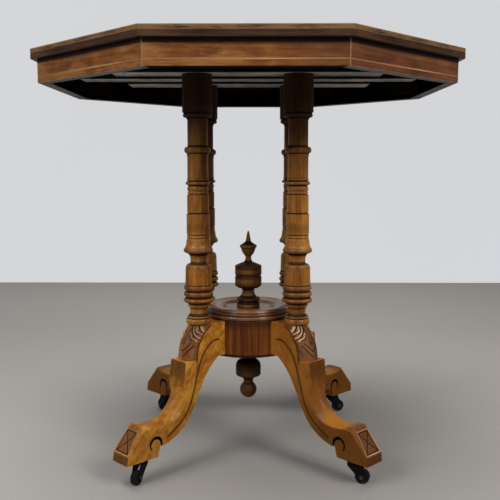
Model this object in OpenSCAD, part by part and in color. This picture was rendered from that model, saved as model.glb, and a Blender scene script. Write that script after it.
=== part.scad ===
// Side table: an octagonal veneered top on a shallow mitred apron, carried on
// three bearers by four turned columns. The columns stand on the knees of four
// sawn legs that meet at a turned hub with a finial above and a pendant below.
// Each leg ends in a scrolled foot on a small swivel castor.
// Frame: floor at z = 0, table axis at x = y = 0, front flat of the top faces -y.

/* [Top] */

// Height of the upper surface above the floor
table_height = 732; // [715:1:760]
// Width of the top across opposite flat sides
top_width = 720; // [690:2:780]
// Thickness of the top board with its veneer
top_thickness = 18; // [16:0.5:22]
// Thickness of the face veneer
veneer_thickness = 1; // [0.6:0.1:2]
// Width of the edge strips round the board
lip_width = 8; // [6:0.5:14]
// Height of the light upper edge strip
lip_height = 8; // [6:0.5:10]
// Radius of the worn upper arris
arris_radius = 2; // [1:0.25:4]
// Width of the crossbanding round the field
crossband_width = 45; // [25:1:70]
// Width of the inlaid line between field and crossbanding
line_width = 2.5; // [1.5:0.25:5]

/* [Apron] */

// Distance from the apron face in to the edge of the top
top_overhang = 10; // [4:1:20]
// Height of the apron boards
apron_height = 38; // [30:1:50]
// Thickness of the apron boards
apron_thickness = 20; // [14:1:26]
// Height of the inlaid line above the lower edge of the apron
stringing_rise = 9; // [5:0.5:14]
// Width of the inlaid lines on the apron
stringing_width = 2; // [1:0.25:3]
// Depth of the inlaid lines
stringing_depth = 1.5; // [0.8:0.1:3]
// Depth of a glue block from its corner inwards
block_depth = 26; // [20:1:34]
// Height of a glue block
block_height = 28; // [20:1:30]

/* [Bearers] */

// Thickness of the bearers
bearer_thickness = 17; // [15:0.5:22]
// Width of the two bearers over the columns
bearer_width = 56; // [54:1:70]
// Width of the middle bearer
mid_bearer_width = 44; // [36:1:56]
// Length of the two bearers over the columns
bearer_length = 470; // [300:5:520]
// Gap between the ends of the middle bearer and the apron
mid_bearer_gap = 22; // [5:1:130]
// Length of the wood screws into the top
screw_length = 27; // [22:1:30]
// Shank radius of the wood screws
screw_radius = 2; // [1.5:0.25:2.5]
// Head radius of the wood screws
screw_head_radius = 4; // [3:0.25:5]
// Depth of the countersunk heads
screw_head_depth = 2.5; // [1.5:0.25:4]
// Distance from a bearer end to its screws
screw_inset = 22; // [12:1:40]

/* [Columns] */

// Distance between the axes of neighbouring columns
column_pitch = 177; // [170:1:200]
// Radius of the plain block at the head
head_radius = 26.4; // [25.5:0.2:30]
// Height of that plain block
head_height = 65.3; // [50:0.1:80]
// Radius of the upper shaft
shaft_radius = 17.6; // [15:0.2:20]
// Length of the upper shaft
shaft_length = 44; // [35:1:55]
// Radius of the bead between the two shafts
ring_radius = 23.5; // [21:0.5:28]
// Height of that bead
ring_height = 11.5; // [8:0.5:14]
// Radius of the lower shaft
lower_shaft_radius = 18.3; // [16:0.2:20]
// Length of the lower shaft
lower_shaft_length = 48; // [40:1:58]
// Radius of the small bead under the lower shaft
collar_radius = 21.8; // [20.5:0.2:25]
// Height of that small bead
collar_height = 7; // [5:0.5:9]
// Radius of the reel under the collar
reel_radius = 18.8; // [17:0.2:20]
// Height of the reel with its thin ring
reel_height = 16; // [12:0.5:20]
// Radius of the upper drum
drum_radius = 19.2; // [17.5:0.2:21]
// Height of the upper drum
drum_height = 32; // [24:1:40]
// Radius of the lower drum
lower_drum_radius = 20.4; // [19:0.2:22]
// Height of the lower drum
lower_drum_height = 37; // [28:1:46]
// Radius of the flared lip over the waist
flare_radius = 26.4; // [23:0.2:29]
// Height of the flare above its lip
flare_height = 29; // [23:1:33]
// Height of the undercut below the lip
undercut_height = 15; // [10:1:20]
// Radius of the waist
waist_radius = 14.3; // [12:0.2:17]
// Height of the waist
waist_height = 7; // [4:1:12]
// Height of the shoulder of the vase
shoulder_height = 9; // [6:1:12]
// Radius of the vase below its shoulder
vase_radius = 23; // [20:0.2:24]
// Radius of the vase at its foot
vase_foot_radius = 23.8; // [22:0.2:25]
// Height of the vase
vase_height = 31; // [22:1:38]
// Radius of the three beads under the vase
bead_radius = 26.4; // [24.5:0.2:29]
// Height of each of the three beads
bead_height = 8.5; // [7:0.5:10]
// Gap between the three beads
bead_gap = 2.75; // [1.5:0.25:4]
// Height of the cove under the beads
cove_height = 10; // [7:0.5:12]
// Radius of the neck above the foot
foot_neck_radius = 15.6; // [13:0.2:17]
// Height of the neck above the foot
foot_neck_height = 12; // [8:0.5:16]
// Height of the thin ring on the foot
foot_ring_height = 6.5; // [4:0.5:9]
// Radius of the foot
foot_radius = 23; // [21:0.5:25]
// Height of the foot
foot_height = 11; // [7:0.5:13]
// Depth of the cut lines between members
groove_depth = 1.5; // [0.8:0.1:2]
// Width of the cut lines between members
groove_width = 1.4; // [0.8:0.1:2]
// Radius of the pegs at both ends
peg_radius = 9; // [7:0.5:11]
// Length of the peg into the leg
lower_peg_length = 30; // [20:1:36]
// Length of the peg into the bearer
upper_peg_length = 12; // [8:1:14]

/* [Hub] */

// Radius of the drum between the legs
hub_radius = 84; // [78:1:88]
// Height of the underside of the drum above the floor
hub_bottom = 194.5; // [192:0.5:200]
// Radius of the moulded plate on the hub
plate_radius = 84; // [80:0.5:88]
// Thickness of the moulded plate at its rim
plate_thickness = 21; // [20:0.5:25]
// Inner radius of the rim round the dish
dish_radius = 69; // [60:1:70]
// Width of the slope from the rim down to the floor of the dish
dish_slope = 17; // [10:1:24]
// Depth of the dish in the plate
dish_depth = 6.5; // [4:0.5:8]
// Radius of the thin disc under the hub
disc_radius = 84; // [76:1:87]
// Thickness of the thin disc
disc_thickness = 4; // [3:0.5:6]
// Distance of the plate screws from the axis
plate_screw_offset = 44; // [32:1:56]
// Distance of the disc screws from the axis
disc_screw_offset = 58; // [40:1:70]

/* [Finial and pendant] */

// Radius of the foot rings of the finial
finial_foot_radius = 22.5; // [20:0.5:26]
// Height of the foot mouldings of the finial
finial_foot_height = 15; // [12:1:18]
// Radius of the stem above the foot
finial_stem_radius = 11.5; // [10:0.5:15]
// Height of the stem with the skirt at its foot
finial_stem_height = 26; // [20:1:32]
// Radius of the cylindrical body
finial_body_radius = 25.4; // [22:0.2:29]
// Height of the cylindrical body
finial_body_height = 39; // [32:1:46]
// Radius of the neck under the bud
finial_neck_radius = 5.4; // [4:0.1:6.5]
// Height of the neck with its flare
finial_neck_height = 17; // [12:1:22]
// Radius of the bud
bud_radius = 16.2; // [13:0.2:19]
// Height of the bud up to the middle of its brim
bud_height = 20; // [14:1:26]
// Height of the cone above the brim
bud_cone_height = 8; // [5:0.5:11]
// Radius of the spike at its root
spike_radius = 5; // [3.5:0.1:6]
// Height of the spike
spike_height = 21; // [15:1:28]
// Radius of the pendant bell
bell_radius = 24.2; // [21:0.2:28]
// Height of the pendant bell
bell_height = 37; // [32:1:46]
// Radius of the collar of the pendant
pendant_collar_radius = 15; // [13:0.5:18]
// Height of the collar of the pendant
pendant_collar_height = 7; // [5:0.5:10]
// Height of the neck under that collar
pendant_neck_height = 16; // [10:0.5:20]
// Radius of the neck over the ball
ball_neck_radius = 9.5; // [7:0.5:11]
// Height of the neck over the ball
ball_neck_height = 10; // [6:0.5:14]
// Radius of the pendant ball
ball_radius = 16.3; // [14:0.1:19]
// Radius of the spigots of finial and pendant
spigot_radius = 8; // [6:0.5:9]
// Length of a spigot beyond the plate or disc
spigot_depth = 14; // [10:1:20]

/* [Legs] */

// Height of the flat top of the legs above the floor
leg_top = 256; // [252:1:260]
// Thickness of the plank the legs are sawn from
leg_thickness = 42; // [38:1:46]
// Height of the shelf under the carved knee
ledge_height = 196; // [190:1:200]
// Distance of the leg face under the shelf from the axis
ledge_reach = 175; // [173:1:180]
// Distance of the centre of the knee arc from the axis
knee_centre = 80; // [76:0.5:84]
// Radius of the knee arc in side view
knee_radius = 73.5; // [70:0.5:76]
// Bulge of the carved knee beyond its edges
knee_bulge = 14; // [8:0.5:20]
// Distance of the toe end from the axis
toe_reach = 301.5; // [296:0.5:310]
// Distance of the upper edge of the toe facet from the axis
facet_reach = 273.5; // [268:0.5:277]
// Crown of the rounded shin above its side edges
shin_crown = 16; // [8:1:18]
// Width taken off each side of the toe facet at its upper edge
facet_taper = 5.5; // [2:0.5:8]
// Height of the toe top above the floor
toe_top = 101; // [96:1:106]
// Length of the toe beyond the hollow of the shin
toe_length = 51; // [44:1:56]
// Height of the end face of the toe
toe_end_height = 17; // [12:1:24]
// Distance of the heel from the axis
heel_reach = 236; // [232:1:240]
// Height of the heel above the sole
heel_height = 17; // [14:0.5:20]
// Length of the level underside of the leg at the hub
root_length = 15; // [10:1:22]
// Radius of the scroll cut outside
scroll_radius = 13.2; // [12:0.1:14]
// Widest part of the scroll cut
scroll_cut = 5.3; // [4:0.1:6.5]
// Radius of the leg dowels
dowel_radius = 5; // [4:0.5:6]
// Length of the leg dowels
dowel_length = 50; // [36:1:56]

/* [Castors] */

// Height of the foot soles above the floor
castor_height = 43; // [41:0.5:48]
// Distance of the castor swivels from the axis
castor_reach = 258; // [256:1:266]
// Radius of the wheels
wheel_radius = 12.5; // [11:0.25:13.5]
// Width of the wheels
wheel_width = 11; // [9:0.5:13]
// Distance from the swivel to the wheel axle
castor_trail = 15; // [12:0.5:18]
// Radius of the fixing plate
castor_plate_radius = 17; // [16:0.5:20]
// Thickness of the fixing plate
castor_plate_thickness = 2; // [1.5:0.25:3]
// Radius of the swivel head of the fork
swivel_radius = 10.2; // [9:0.2:10.6]
// Thickness of the swivel head of the fork
swivel_thickness = 6; // [5:0.5:7]
// Thickness of the fork cheeks
cheek_thickness = 2; // [1.5:0.25:2.5]
// Radius of the king pin
king_pin_radius = 3; // [2.5:0.25:3.5]
// Radius of the wheel axle
axle_radius = 2; // [1.5:0.25:2.5]
// Rest heading of the front left wheel
heading_front_left = 247; // [0:1:359]
// Rest heading of the front right wheel
heading_front_right = 340; // [0:1:359]
// Rest heading of the rear right wheel
heading_rear_right = 21; // [0:1:359]
// Rest heading of the rear left wheel
heading_rear_left = 131; // [0:1:359]

/* [Clearances] */

// Gap round glued pegs, dowels and screws
fit_gap = 0.1; // [0.05:0.05:0.2]
// Radial running gap of king pins and axles
run_gap = 0.05; // [0.02:0.01:0.1]
// Gap between faces that turn past each other
turn_gap = 0.3; // [0.2:0.05:0.5]
// Width of the glue joints between mitred strips
joint_gap = 0.1; // [0.05:0.05:0.2]

/* [Hidden] */

$fn = 64;
eps = 0.01;
// Far end of cutting bodies, well outside the table
far = 900;
top_under = table_height - top_thickness;
veneer_under = table_height - veneer_thickness;
top_apothem = top_width / 2;
core_apothem = top_apothem - lip_width;
field_apothem = core_apothem - crossband_width - line_width;
apron_apothem = top_apothem - top_overhang;
apron_inner = apron_apothem - apron_thickness;
apron_under = top_under - apron_height;
bearer_under = top_under - bearer_thickness;
mid_bearer_length = 2 * (apron_inner - mid_bearer_gap);
column_offset = column_pitch / 2;
column_length = bearer_under - leg_top;
hub_flat = sqrt(pow(hub_radius, 2) - pow(leg_thickness / 2, 2));
plate_floor = leg_top + plate_thickness - dish_depth;
disc_under = hub_bottom - disc_thickness;
corner_ratio = 1 / cos(22.5);
// Angles of the four corners, seen from above
front_left = 225;
front_right = 315;
rear_right = 45;
rear_left = 135;
corners = [front_left, front_right, rear_right, rear_left];

// Turned work

// Points of a half round between two heights, root radius r0, crown radius r1
function bead(z0, z1, r0, r1) =
  [for (i = [0:10]) [r0 + (r1 - r0) * sin(18 * i), z0 + (z1 - z0) * (1 - cos(18 * i)) / 2]];

// Points of a hollow quarter from (ra, z0) to (rb, z1), steep at the wider end
function hollow(z0, z1, ra, rb) =
  [for (i = [0:6]) ra > rb
    ? [rb + (ra - rb) * (1 - sin(15 * i)), z0 + (z1 - z0) * (1 - cos(15 * i))]
    : [ra + (rb - ra) * (1 - cos(15 * i)), z0 + (z1 - z0) * sin(15 * i)]];

// Points of a swelling quarter from (ra, z0) to (rb, z1), upright at the wider end
function swell(z0, z1, ra, rb) =
  [for (i = [0:6]) ra > rb
    ? [rb + (ra - rb) * cos(15 * i), z0 + (z1 - z0) * sin(15 * i)]
    : [ra + (rb - ra) * sin(15 * i), z0 + (z1 - z0) * (1 - cos(15 * i))]];

// Points of a plain drum with eased ends, standing in a cut line of radius r0
function drum(z0, z1, r0, r1) =
  [[r0, z0], [r1 - groove_width / 2, z0], [r1, z0 + groove_width / 2],
   [r1, z1 - groove_width / 2], [r1 - groove_width / 2, z1], [r0, z1]];

// Point on a cubic curve with end points a, d and handles b, c
function curve(a, b, c, d, count) =
  [for (i = [0:count]) let (t = i / count)
    pow(1 - t, 3) * a + 3 * t * pow(1 - t, 2) * b + 3 * pow(t, 2) * (1 - t) * c + pow(t, 3) * d];

module octagon(apothem) {
  rotate(22.5) circle(r = apothem * corner_ratio, $fn = 8);
}

// One eighth of the plane, centred on the side that faces the given angle
module eighth(angle, gap = 0) {
  rotate(angle)
    translate([gap / 2 / sin(22.5), 0])
      polygon([[0, 0], [far, -far * tan(22.5)], [far, far * tan(22.5)]]);
}

// Eight mitred pieces of an octagonal ring
module mitred_ring(outer, inner, height) {
  for (side = [0:7])
    linear_extrude(height)
      intersection() {
        difference() {
          octagon(outer);
          octagon(inner);
        }
        eighth(45 * side, joint_gap);
      }
}

// Countersunk screw with its flat head at z = 0 and its point upwards
module screw(length, extra = 0) {
  rotate_extrude()
    polygon([
      [0, 0], [screw_head_radius + extra, 0],
      [screw_radius + extra, screw_head_depth],
      [screw_radius + extra, length + extra], [0, length + extra]
    ]);
}

// Places things on a leg: x runs out along the leg, y across it
module on_corner(angle) {
  rotate(angle) children();
}

// Top

module bearer_screw_places() {
  for (row = [[-column_offset, bearer_length, bearer_width],
              [0, mid_bearer_length, mid_bearer_width],
              [column_offset, bearer_length, bearer_width]])
    for (end = [-1, 1])
      for (across = [-1, 1])
        translate([end * (row[1] / 2 - screw_inset), row[0] + across * row[2] / 4, bearer_under])
          children();
}

module block_screw_places() {
  for (side = [0:7])
    rotate(22.5 + 45 * side)
      translate([apron_inner * corner_ratio - block_depth / 2, 0, top_under - block_height])
        children();
}

block_screw_length = block_height + screw_length - bearer_thickness;

module top_core() {
  color("peru")
    difference() {
      translate([0, 0, top_under])
        linear_extrude(top_thickness - veneer_thickness)
          octagon(core_apothem);
      bearer_screw_places() screw(screw_length, fit_gap);
      block_screw_places() screw(block_screw_length, fit_gap);
    }
}

module veneer_field() {
  color("sienna")
    for (side = [0:7])
      translate([0, 0, veneer_under])
        linear_extrude(veneer_thickness)
          intersection() {
            octagon(field_apothem);
            eighth(45 * side, joint_gap);
          }
}

module veneer_line() {
  color("wheat")
    translate([0, 0, veneer_under])
      mitred_ring(field_apothem + line_width, field_apothem, veneer_thickness);
}

module veneer_crossband() {
  color("saddlebrown")
    translate([0, 0, veneer_under])
      mitred_ring(core_apothem, field_apothem + line_width, veneer_thickness);
}

// Edge strip for one side: its section is drawn outwards from the board
module edge_strips(section_points) {
  for (side = [0:7])
    rotate(45 * side)
      intersection() {
        translate([core_apothem, far / 2, 0])
          rotate([90, 0, 0])
            linear_extrude(far)
              polygon(section_points);
        linear_extrude(far)
          eighth(0, joint_gap);
      }
}

module edge_lipping() {
  low = table_height - lip_height;
  color("burlywood")
    edge_strips(concat(
      [[0, low], [lip_width, low]],
      [for (i = [0:4])
        [lip_width - arris_radius * (1 - cos(22.5 * i)),
         table_height - arris_radius * (1 - sin(22.5 * i))]],
      [[0, table_height]]));
}

module edge_moulding() {
  low = top_under;
  high = table_height - lip_height;
  ease = arris_radius / 2;
  color("dimgray")
    edge_strips([
      [0, low], [lip_width - ease, low], [lip_width, low + ease],
      [lip_width, high - ease], [lip_width - ease, high], [0, high]
    ]);
}

// Apron

module apron_board(angle) {
  color("chocolate")
    difference() {
      translate([0, 0, apron_under])
        linear_extrude(apron_height)
          intersection() {
            difference() {
              octagon(apron_apothem);
              octagon(apron_inner);
            }
            eighth(angle);
          }
      translate([0, 0, apron_under + stringing_rise])
        linear_extrude(stringing_width)
          difference() {
            octagon(apron_apothem + 1);
            octagon(apron_apothem - stringing_depth);
          }
      for (end = [-22.5, 22.5])
        translate([0, 0, apron_under - 1])
          linear_extrude(apron_height + 2)
            corner_line_section(angle + end, 1);
    }
}

// Section of an upright line at a corner, reaching a little past the face when it cuts
module corner_line_section(angle, past = 0) {
  intersection() {
    difference() {
      octagon(apron_apothem + past);
      octagon(apron_apothem - stringing_depth);
    }
    rotate(angle)
      translate([0, -stringing_width / 2])
        square([far, stringing_width]);
  }
}

module corner_line(angle) {
  translate([0, 0, apron_under])
    linear_extrude(apron_height)
      corner_line_section(angle);
}

module apron_front() { apron_board(270); }
module apron_front_right() { apron_board(315); }
module apron_right() { apron_board(0); }
module apron_rear_right() { apron_board(45); }
module apron_rear() { apron_board(90); }
module apron_rear_left() { apron_board(135); }
module apron_left() { apron_board(180); }
module apron_front_left() { apron_board(225); }

module apron_stringing() {
  color("wheat")
    difference() {
      translate([0, 0, apron_under + stringing_rise])
        mitred_ring(apron_apothem, apron_apothem - stringing_depth, stringing_width);
      for (side = [0:7])
        translate([0, 0, apron_under - 1])
          linear_extrude(apron_height + 2)
            corner_line_section(22.5 + 45 * side, 1);
    }
}

module corner_stringing() {
  color("wheat")
    for (side = [0:7])
      corner_line(22.5 + 45 * side);
}

module corner_blocks() {
  color("tan")
    difference() {
      translate([0, 0, top_under - block_height])
        linear_extrude(block_height)
          for (side = [0:7])
            intersection() {
              octagon(apron_inner);
              rotate(22.5 + 45 * side)
                translate([apron_inner * corner_ratio - block_depth, -far / 2])
                  square([far, far]);
            }
      block_screw_places() screw(block_screw_length, fit_gap);
    }
}

module block_screws() {
  color("silver")
    block_screw_places() screw(block_screw_length);
}

// Bearers

module bearer(offset, length, width) {
  color("rosybrown")
    difference() {
      translate([-length / 2, offset - width / 2, bearer_under])
        cube([length, width, bearer_thickness]);
      bearer_screw_places() screw(screw_length, fit_gap);
      if (offset != 0)
        for (side = [-1, 1])
          translate([side * column_offset, offset, bearer_under - 1])
            cylinder(h = upper_peg_length + 1, r = peg_radius + fit_gap);
    }
}

module bearer_front() { bearer(-column_offset, bearer_length, bearer_width); }
module bearer_middle() { bearer(0, mid_bearer_length, mid_bearer_width); }
module bearer_rear() { bearer(column_offset, bearer_length, bearer_width); }

module bearer_screws() {
  color("silver")
    bearer_screw_places() screw(screw_length);
}

// Columns, heights counted from the top of the leg

// Height of the small quarter hollow under the head
head_cove_height = 7;
head_bead_height = 7;
// The long plain members share what the short moulded ones leave of the length
long_members = lower_drum_height + drum_height + lower_shaft_length + shaft_length + head_height;
short_members = foot_height + foot_ring_height + foot_neck_height + cove_height
  + 3 * bead_height + 2 * bead_gap + vase_height + shoulder_height + waist_height
  + undercut_height + flare_height + reel_height + collar_height + ring_height
  + head_cove_height + head_bead_height + 3 * groove_width;
stretch = (column_length - short_members) / long_members;
foot_top = foot_height;
foot_ring_top = foot_top + foot_ring_height;
foot_neck_top = foot_ring_top + foot_neck_height;
cove_top = foot_neck_top + cove_height;
beads_top = cove_top + 3 * bead_height + 2 * bead_gap;
vase_top = beads_top + vase_height;
shoulder_top = vase_top + shoulder_height;
waist_top = shoulder_top + waist_height;
lip_at = waist_top + undercut_height;
flare_top = lip_at + flare_height;
lower_drum_top = flare_top + stretch * lower_drum_height;
drum_top = lower_drum_top + groove_width + stretch * drum_height;
reel_top = drum_top + groove_width + reel_height;
collar_top = reel_top + collar_height;
lower_shaft_top = collar_top + stretch * lower_shaft_length;
ring_top = lower_shaft_top + ring_height;
shaft_top = ring_top + stretch * shaft_length;
head_bead_bottom = shaft_top + head_cove_height;
head_bottom = head_bead_bottom + head_bead_height + groove_width;
bead_pitch = bead_height + bead_gap;
// Share of the reel taken by its thin lower ring
thin_ring_height = 4;
// Height of the ring between the flare and the lower drum
flare_ring_height = 5;

module column_profile() {
  polygon(concat(
    [[0, -lower_peg_length], [peg_radius, -lower_peg_length], [peg_radius, 0]],
    bead(0, foot_top, foot_radius - 3, foot_radius),
    [[foot_neck_radius + 3, foot_top]],
    bead(foot_top + eps, foot_ring_top - 2, foot_neck_radius + 3, foot_neck_radius + 5),
    [[foot_neck_radius + 2, foot_ring_top - 2], [foot_neck_radius + 2, foot_ring_top],
     [foot_neck_radius, foot_ring_top], [foot_neck_radius, foot_neck_top]],
    swell(foot_neck_top + eps, cove_top - 3, foot_neck_radius, foot_neck_radius + 3.5),
    [[foot_neck_radius + 3.5, cove_top]],
    bead(cove_top + eps, cove_top + bead_height, bead_radius - 4, bead_radius + 0.6),
    [[bead_radius - 2 * groove_depth, cove_top + bead_height + bead_gap / 2]],
    bead(cove_top + bead_pitch, cove_top + bead_pitch + bead_height, bead_radius - 3, bead_radius),
    [[bead_radius - 3 * groove_depth, cove_top + bead_pitch + bead_height + bead_gap / 2]],
    bead(cove_top + 2 * bead_pitch, beads_top, bead_radius - 3, bead_radius - 0.4),
    [[vase_foot_radius, beads_top + eps], [vase_radius, vase_top]],
    swell(vase_top + eps, shoulder_top - 1, vase_radius - 0.1, waist_radius + 1.5),
    [[waist_radius, shoulder_top], [waist_radius, waist_top]],
    hollow(waist_top + eps, lip_at - 3, waist_radius, flare_radius - 2),
    [[flare_radius, lip_at], [flare_radius - 0.6, lip_at + 3], [flare_radius - 2.4, lip_at + 5.5],
     [flare_radius - 4.2, lip_at + 9.5], [flare_radius - 5, lip_at + 14],
     [lower_drum_radius + 0.4, flare_top - flare_ring_height - 2.5 * groove_width],
     [lower_drum_radius - groove_depth, flare_top - flare_ring_height - groove_width]],
    bead(flare_top - flare_ring_height - groove_width + eps, flare_top - groove_width,
      lower_drum_radius - groove_depth, lower_drum_radius),
    [[lower_drum_radius - groove_depth, flare_top]],
    drum(flare_top + eps, lower_drum_top, lower_drum_radius - groove_depth, lower_drum_radius),
    [[drum_radius - groove_depth, lower_drum_top + eps],
     [drum_radius - groove_depth, lower_drum_top + groove_width]],
    drum(lower_drum_top + groove_width + eps, drum_top, drum_radius - groove_depth, drum_radius),
    [[reel_radius - groove_depth, drum_top + eps],
     [reel_radius - groove_depth, drum_top + groove_width]],
    bead(drum_top + groove_width + eps, drum_top + groove_width + thin_ring_height,
      reel_radius - groove_depth, reel_radius - 0.5),
    [[reel_radius - groove_depth, drum_top + 2 * groove_width + thin_ring_height]],
    bead(drum_top + 2 * groove_width + thin_ring_height + eps, reel_top - 2 * groove_width,
      reel_radius - groove_depth, reel_radius),
    [[reel_radius - groove_depth, reel_top]],
    bead(reel_top + eps, collar_top - 1, reel_radius, collar_radius),
    [[lower_shaft_radius - 0.4, collar_top]],
    bead(collar_top + 0.6, collar_top + 4.4, lower_shaft_radius - 0.4, lower_shaft_radius + 1),
    [[lower_shaft_radius - 0.6, collar_top + 5], [lower_shaft_radius, collar_top + 5.6],
     [lower_shaft_radius, lower_shaft_top - 5],
     [lower_shaft_radius + 0.8, lower_shaft_top - 4.5], [lower_shaft_radius + 0.8, lower_shaft_top]],
    bead(lower_shaft_top + eps, ring_top, shaft_radius + 1, ring_radius),
    [[shaft_radius, ring_top + eps], [shaft_radius, shaft_top]],
    hollow(shaft_top + eps, head_bead_bottom, shaft_radius, head_radius - 3.5),
    bead(head_bead_bottom + eps, head_bead_bottom + head_bead_height, head_radius - 3, head_radius - 1.2),
    [[head_radius - 2, head_bead_bottom + head_bead_height + eps], [head_radius - 2, head_bottom],
     [head_radius, head_bottom + eps], [head_radius, column_length], [peg_radius, column_length],
     [peg_radius, column_length + upper_peg_length], [0, column_length + upper_peg_length]]
  ));
}

module column(x_side, y_side) {
  color("saddlebrown")
    translate([x_side * column_offset, y_side * column_offset, leg_top])
      rotate_extrude($fn = 96)
        column_profile();
}

module column_front_left() { column(-1, -1); }
module column_front_right() { column(1, -1); }
module column_rear_right() { column(1, 1); }
module column_rear_left() { column(-1, 1); }

// Hub

plate_screw_length = plate_thickness - dish_depth + 14;
disc_screw_length = disc_thickness + 14;

module plate_screw_places() {
  for (side = [-1, 1])
    translate([side * plate_screw_offset, 0, plate_floor])
      mirror([0, 0, 1])
        children();
}

module disc_screw_places() {
  for (turn = [0:2])
    rotate(120 * turn + 90)
      translate([disc_screw_offset, 0, disc_under])
        children();
}

module hub_drum() {
  color("brown")
    difference() {
      translate([0, 0, hub_bottom])
        cylinder(h = leg_top - hub_bottom, r = hub_radius, $fn = 128);
      for (angle = corners)
        on_corner(angle) {
          translate([hub_flat, -hub_radius, hub_bottom - 1])
            cube([hub_radius, 2 * hub_radius, leg_top - hub_bottom + 2]);
          leg_dowel_pair(fit_gap);
        }
      translate([0, 0, leg_top - spigot_depth])
        cylinder(h = spigot_depth + 1, r = spigot_radius + fit_gap);
      translate([0, 0, hub_bottom - 1])
        cylinder(h = spigot_depth + 1, r = spigot_radius + fit_gap);
      plate_screw_places() screw(plate_screw_length, fit_gap);
      disc_screw_places() screw(disc_screw_length, fit_gap);
    }
}

module hub_plate() {
  rim = leg_top + plate_thickness;
  color("brown")
    difference() {
      rotate_extrude($fn = 128)
        polygon(concat(
          [[0, leg_top], [plate_radius - 3, leg_top], [plate_radius - 3, leg_top + 2.5]],
          bead(leg_top + 2.5 + eps, leg_top + 9, plate_radius - 1.5, plate_radius),
          [[plate_radius - 3.5, leg_top + 9.8]],
          bead(leg_top + 10.5, leg_top + 15, plate_radius - 3.5, plate_radius - 1.2),
          [[plate_radius - 4, leg_top + 15.5]],
          swell(leg_top + 16, rim, plate_radius - 4.2, dish_radius + 6),
          [[dish_radius + 2, rim], [dish_radius, rim - 1]],
          hollow(rim - 1.2, plate_floor + 1, dish_radius - 0.2, dish_radius - dish_slope),
          [[dish_radius - dish_slope - 2, plate_floor + 1],
           [dish_radius - dish_slope - 2.6, plate_floor],
           [0, plate_floor]]
        ));
      translate([0, 0, leg_top - 1])
        cylinder(h = plate_thickness + 2, r = spigot_radius + fit_gap);
      plate_screw_places() screw(plate_screw_length, fit_gap);
    }
}

module plate_screws() {
  color("dimgray")
    plate_screw_places() screw(plate_screw_length);
}

module hub_disc() {
  color("gray")
    difference() {
      translate([0, 0, disc_under])
        cylinder(h = disc_thickness, r = disc_radius, $fn = 128);
      translate([0, 0, disc_under - 1])
        cylinder(h = disc_thickness + 2, r = spigot_radius + fit_gap);
      disc_screw_places() screw(disc_screw_length, fit_gap);
    }
}

module disc_screws() {
  color("dimgray")
    disc_screw_places() screw(disc_screw_length);
}

// Finial and pendant

module finial() {
  // Heights of the members above the floor of the dish
  stem_at = finial_foot_height;
  body_at = stem_at + finial_stem_height;
  neck_at = body_at + finial_body_height;
  bud_at = neck_at + finial_neck_height;
  edge_at = bud_at + bud_height;
  spike_at = edge_at + bud_cone_height;
  line_at = body_at + finial_body_height / 2;
  color("darkolivegreen")
    translate([0, 0, plate_floor])
      rotate_extrude($fn = 96)
        polygon(concat(
          [[0, leg_top - spigot_depth - plate_floor],
           [spigot_radius, leg_top - spigot_depth - plate_floor], [spigot_radius, 0]],
          bead(0, stem_at * 0.47, finial_foot_radius - 1.5, finial_foot_radius - 0.3),
          bead(stem_at * 0.48, stem_at * 0.64, finial_foot_radius - 3, finial_foot_radius - 1.6),
          [[finial_foot_radius - 4, stem_at * 0.67], [finial_foot_radius - 4, stem_at * 0.84],
           [finial_foot_radius - 0.4, stem_at * 0.87], [finial_foot_radius, stem_at * 0.97],
           [finial_foot_radius - 0.8, stem_at + 2]],
          hollow(stem_at + 2.5, stem_at + finial_stem_height * 0.62, finial_foot_radius - 1.4,
            finial_stem_radius),
          [[finial_stem_radius, body_at - 9]],
          hollow(body_at - 9 + eps, body_at - 4, finial_stem_radius, finial_body_radius - 6),
          [[finial_body_radius - 1, body_at - 0.5], [finial_body_radius, body_at + 1.5],
           [finial_body_radius, body_at + 5], [finial_body_radius - 1, body_at + 5.6],
           [finial_body_radius, body_at + 6.2], [finial_body_radius, line_at - 2.2],
           [finial_body_radius - groove_depth, line_at - 1.6],
           [finial_body_radius - groove_depth, line_at + 1.6],
           [finial_body_radius, line_at + 2.2], [finial_body_radius, neck_at - 6.2],
           [finial_body_radius - 1, neck_at - 5.6], [finial_body_radius, neck_at - 5],
           [finial_body_radius, neck_at - 1], [finial_body_radius - 1.2, neck_at]],
          [[finial_body_radius / 2, neck_at + 5]],
          hollow(neck_at + 5 + eps, bud_at - 2, finial_body_radius / 2 - 0.5, finial_neck_radius),
          [[finial_neck_radius, bud_at]],
          [[finial_neck_radius + 2.6, bud_at + 3], [(finial_neck_radius + bud_radius) / 2, bud_at + 7],
           [bud_radius - 2.6, edge_at - 6], [bud_radius - 2.2, edge_at - 3.6]],
          bead(edge_at - 3.2, edge_at + 2.2, bud_radius - 1.6, bud_radius),
          [[bud_radius - 3.4, edge_at + 3.2], [spike_radius + 1.4, spike_at - 0.5],
           [spike_radius, spike_at + 1.5],
           [spike_radius / 3, spike_at + spike_height - 1.5], [0, spike_at + spike_height]]
        ));
}

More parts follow.
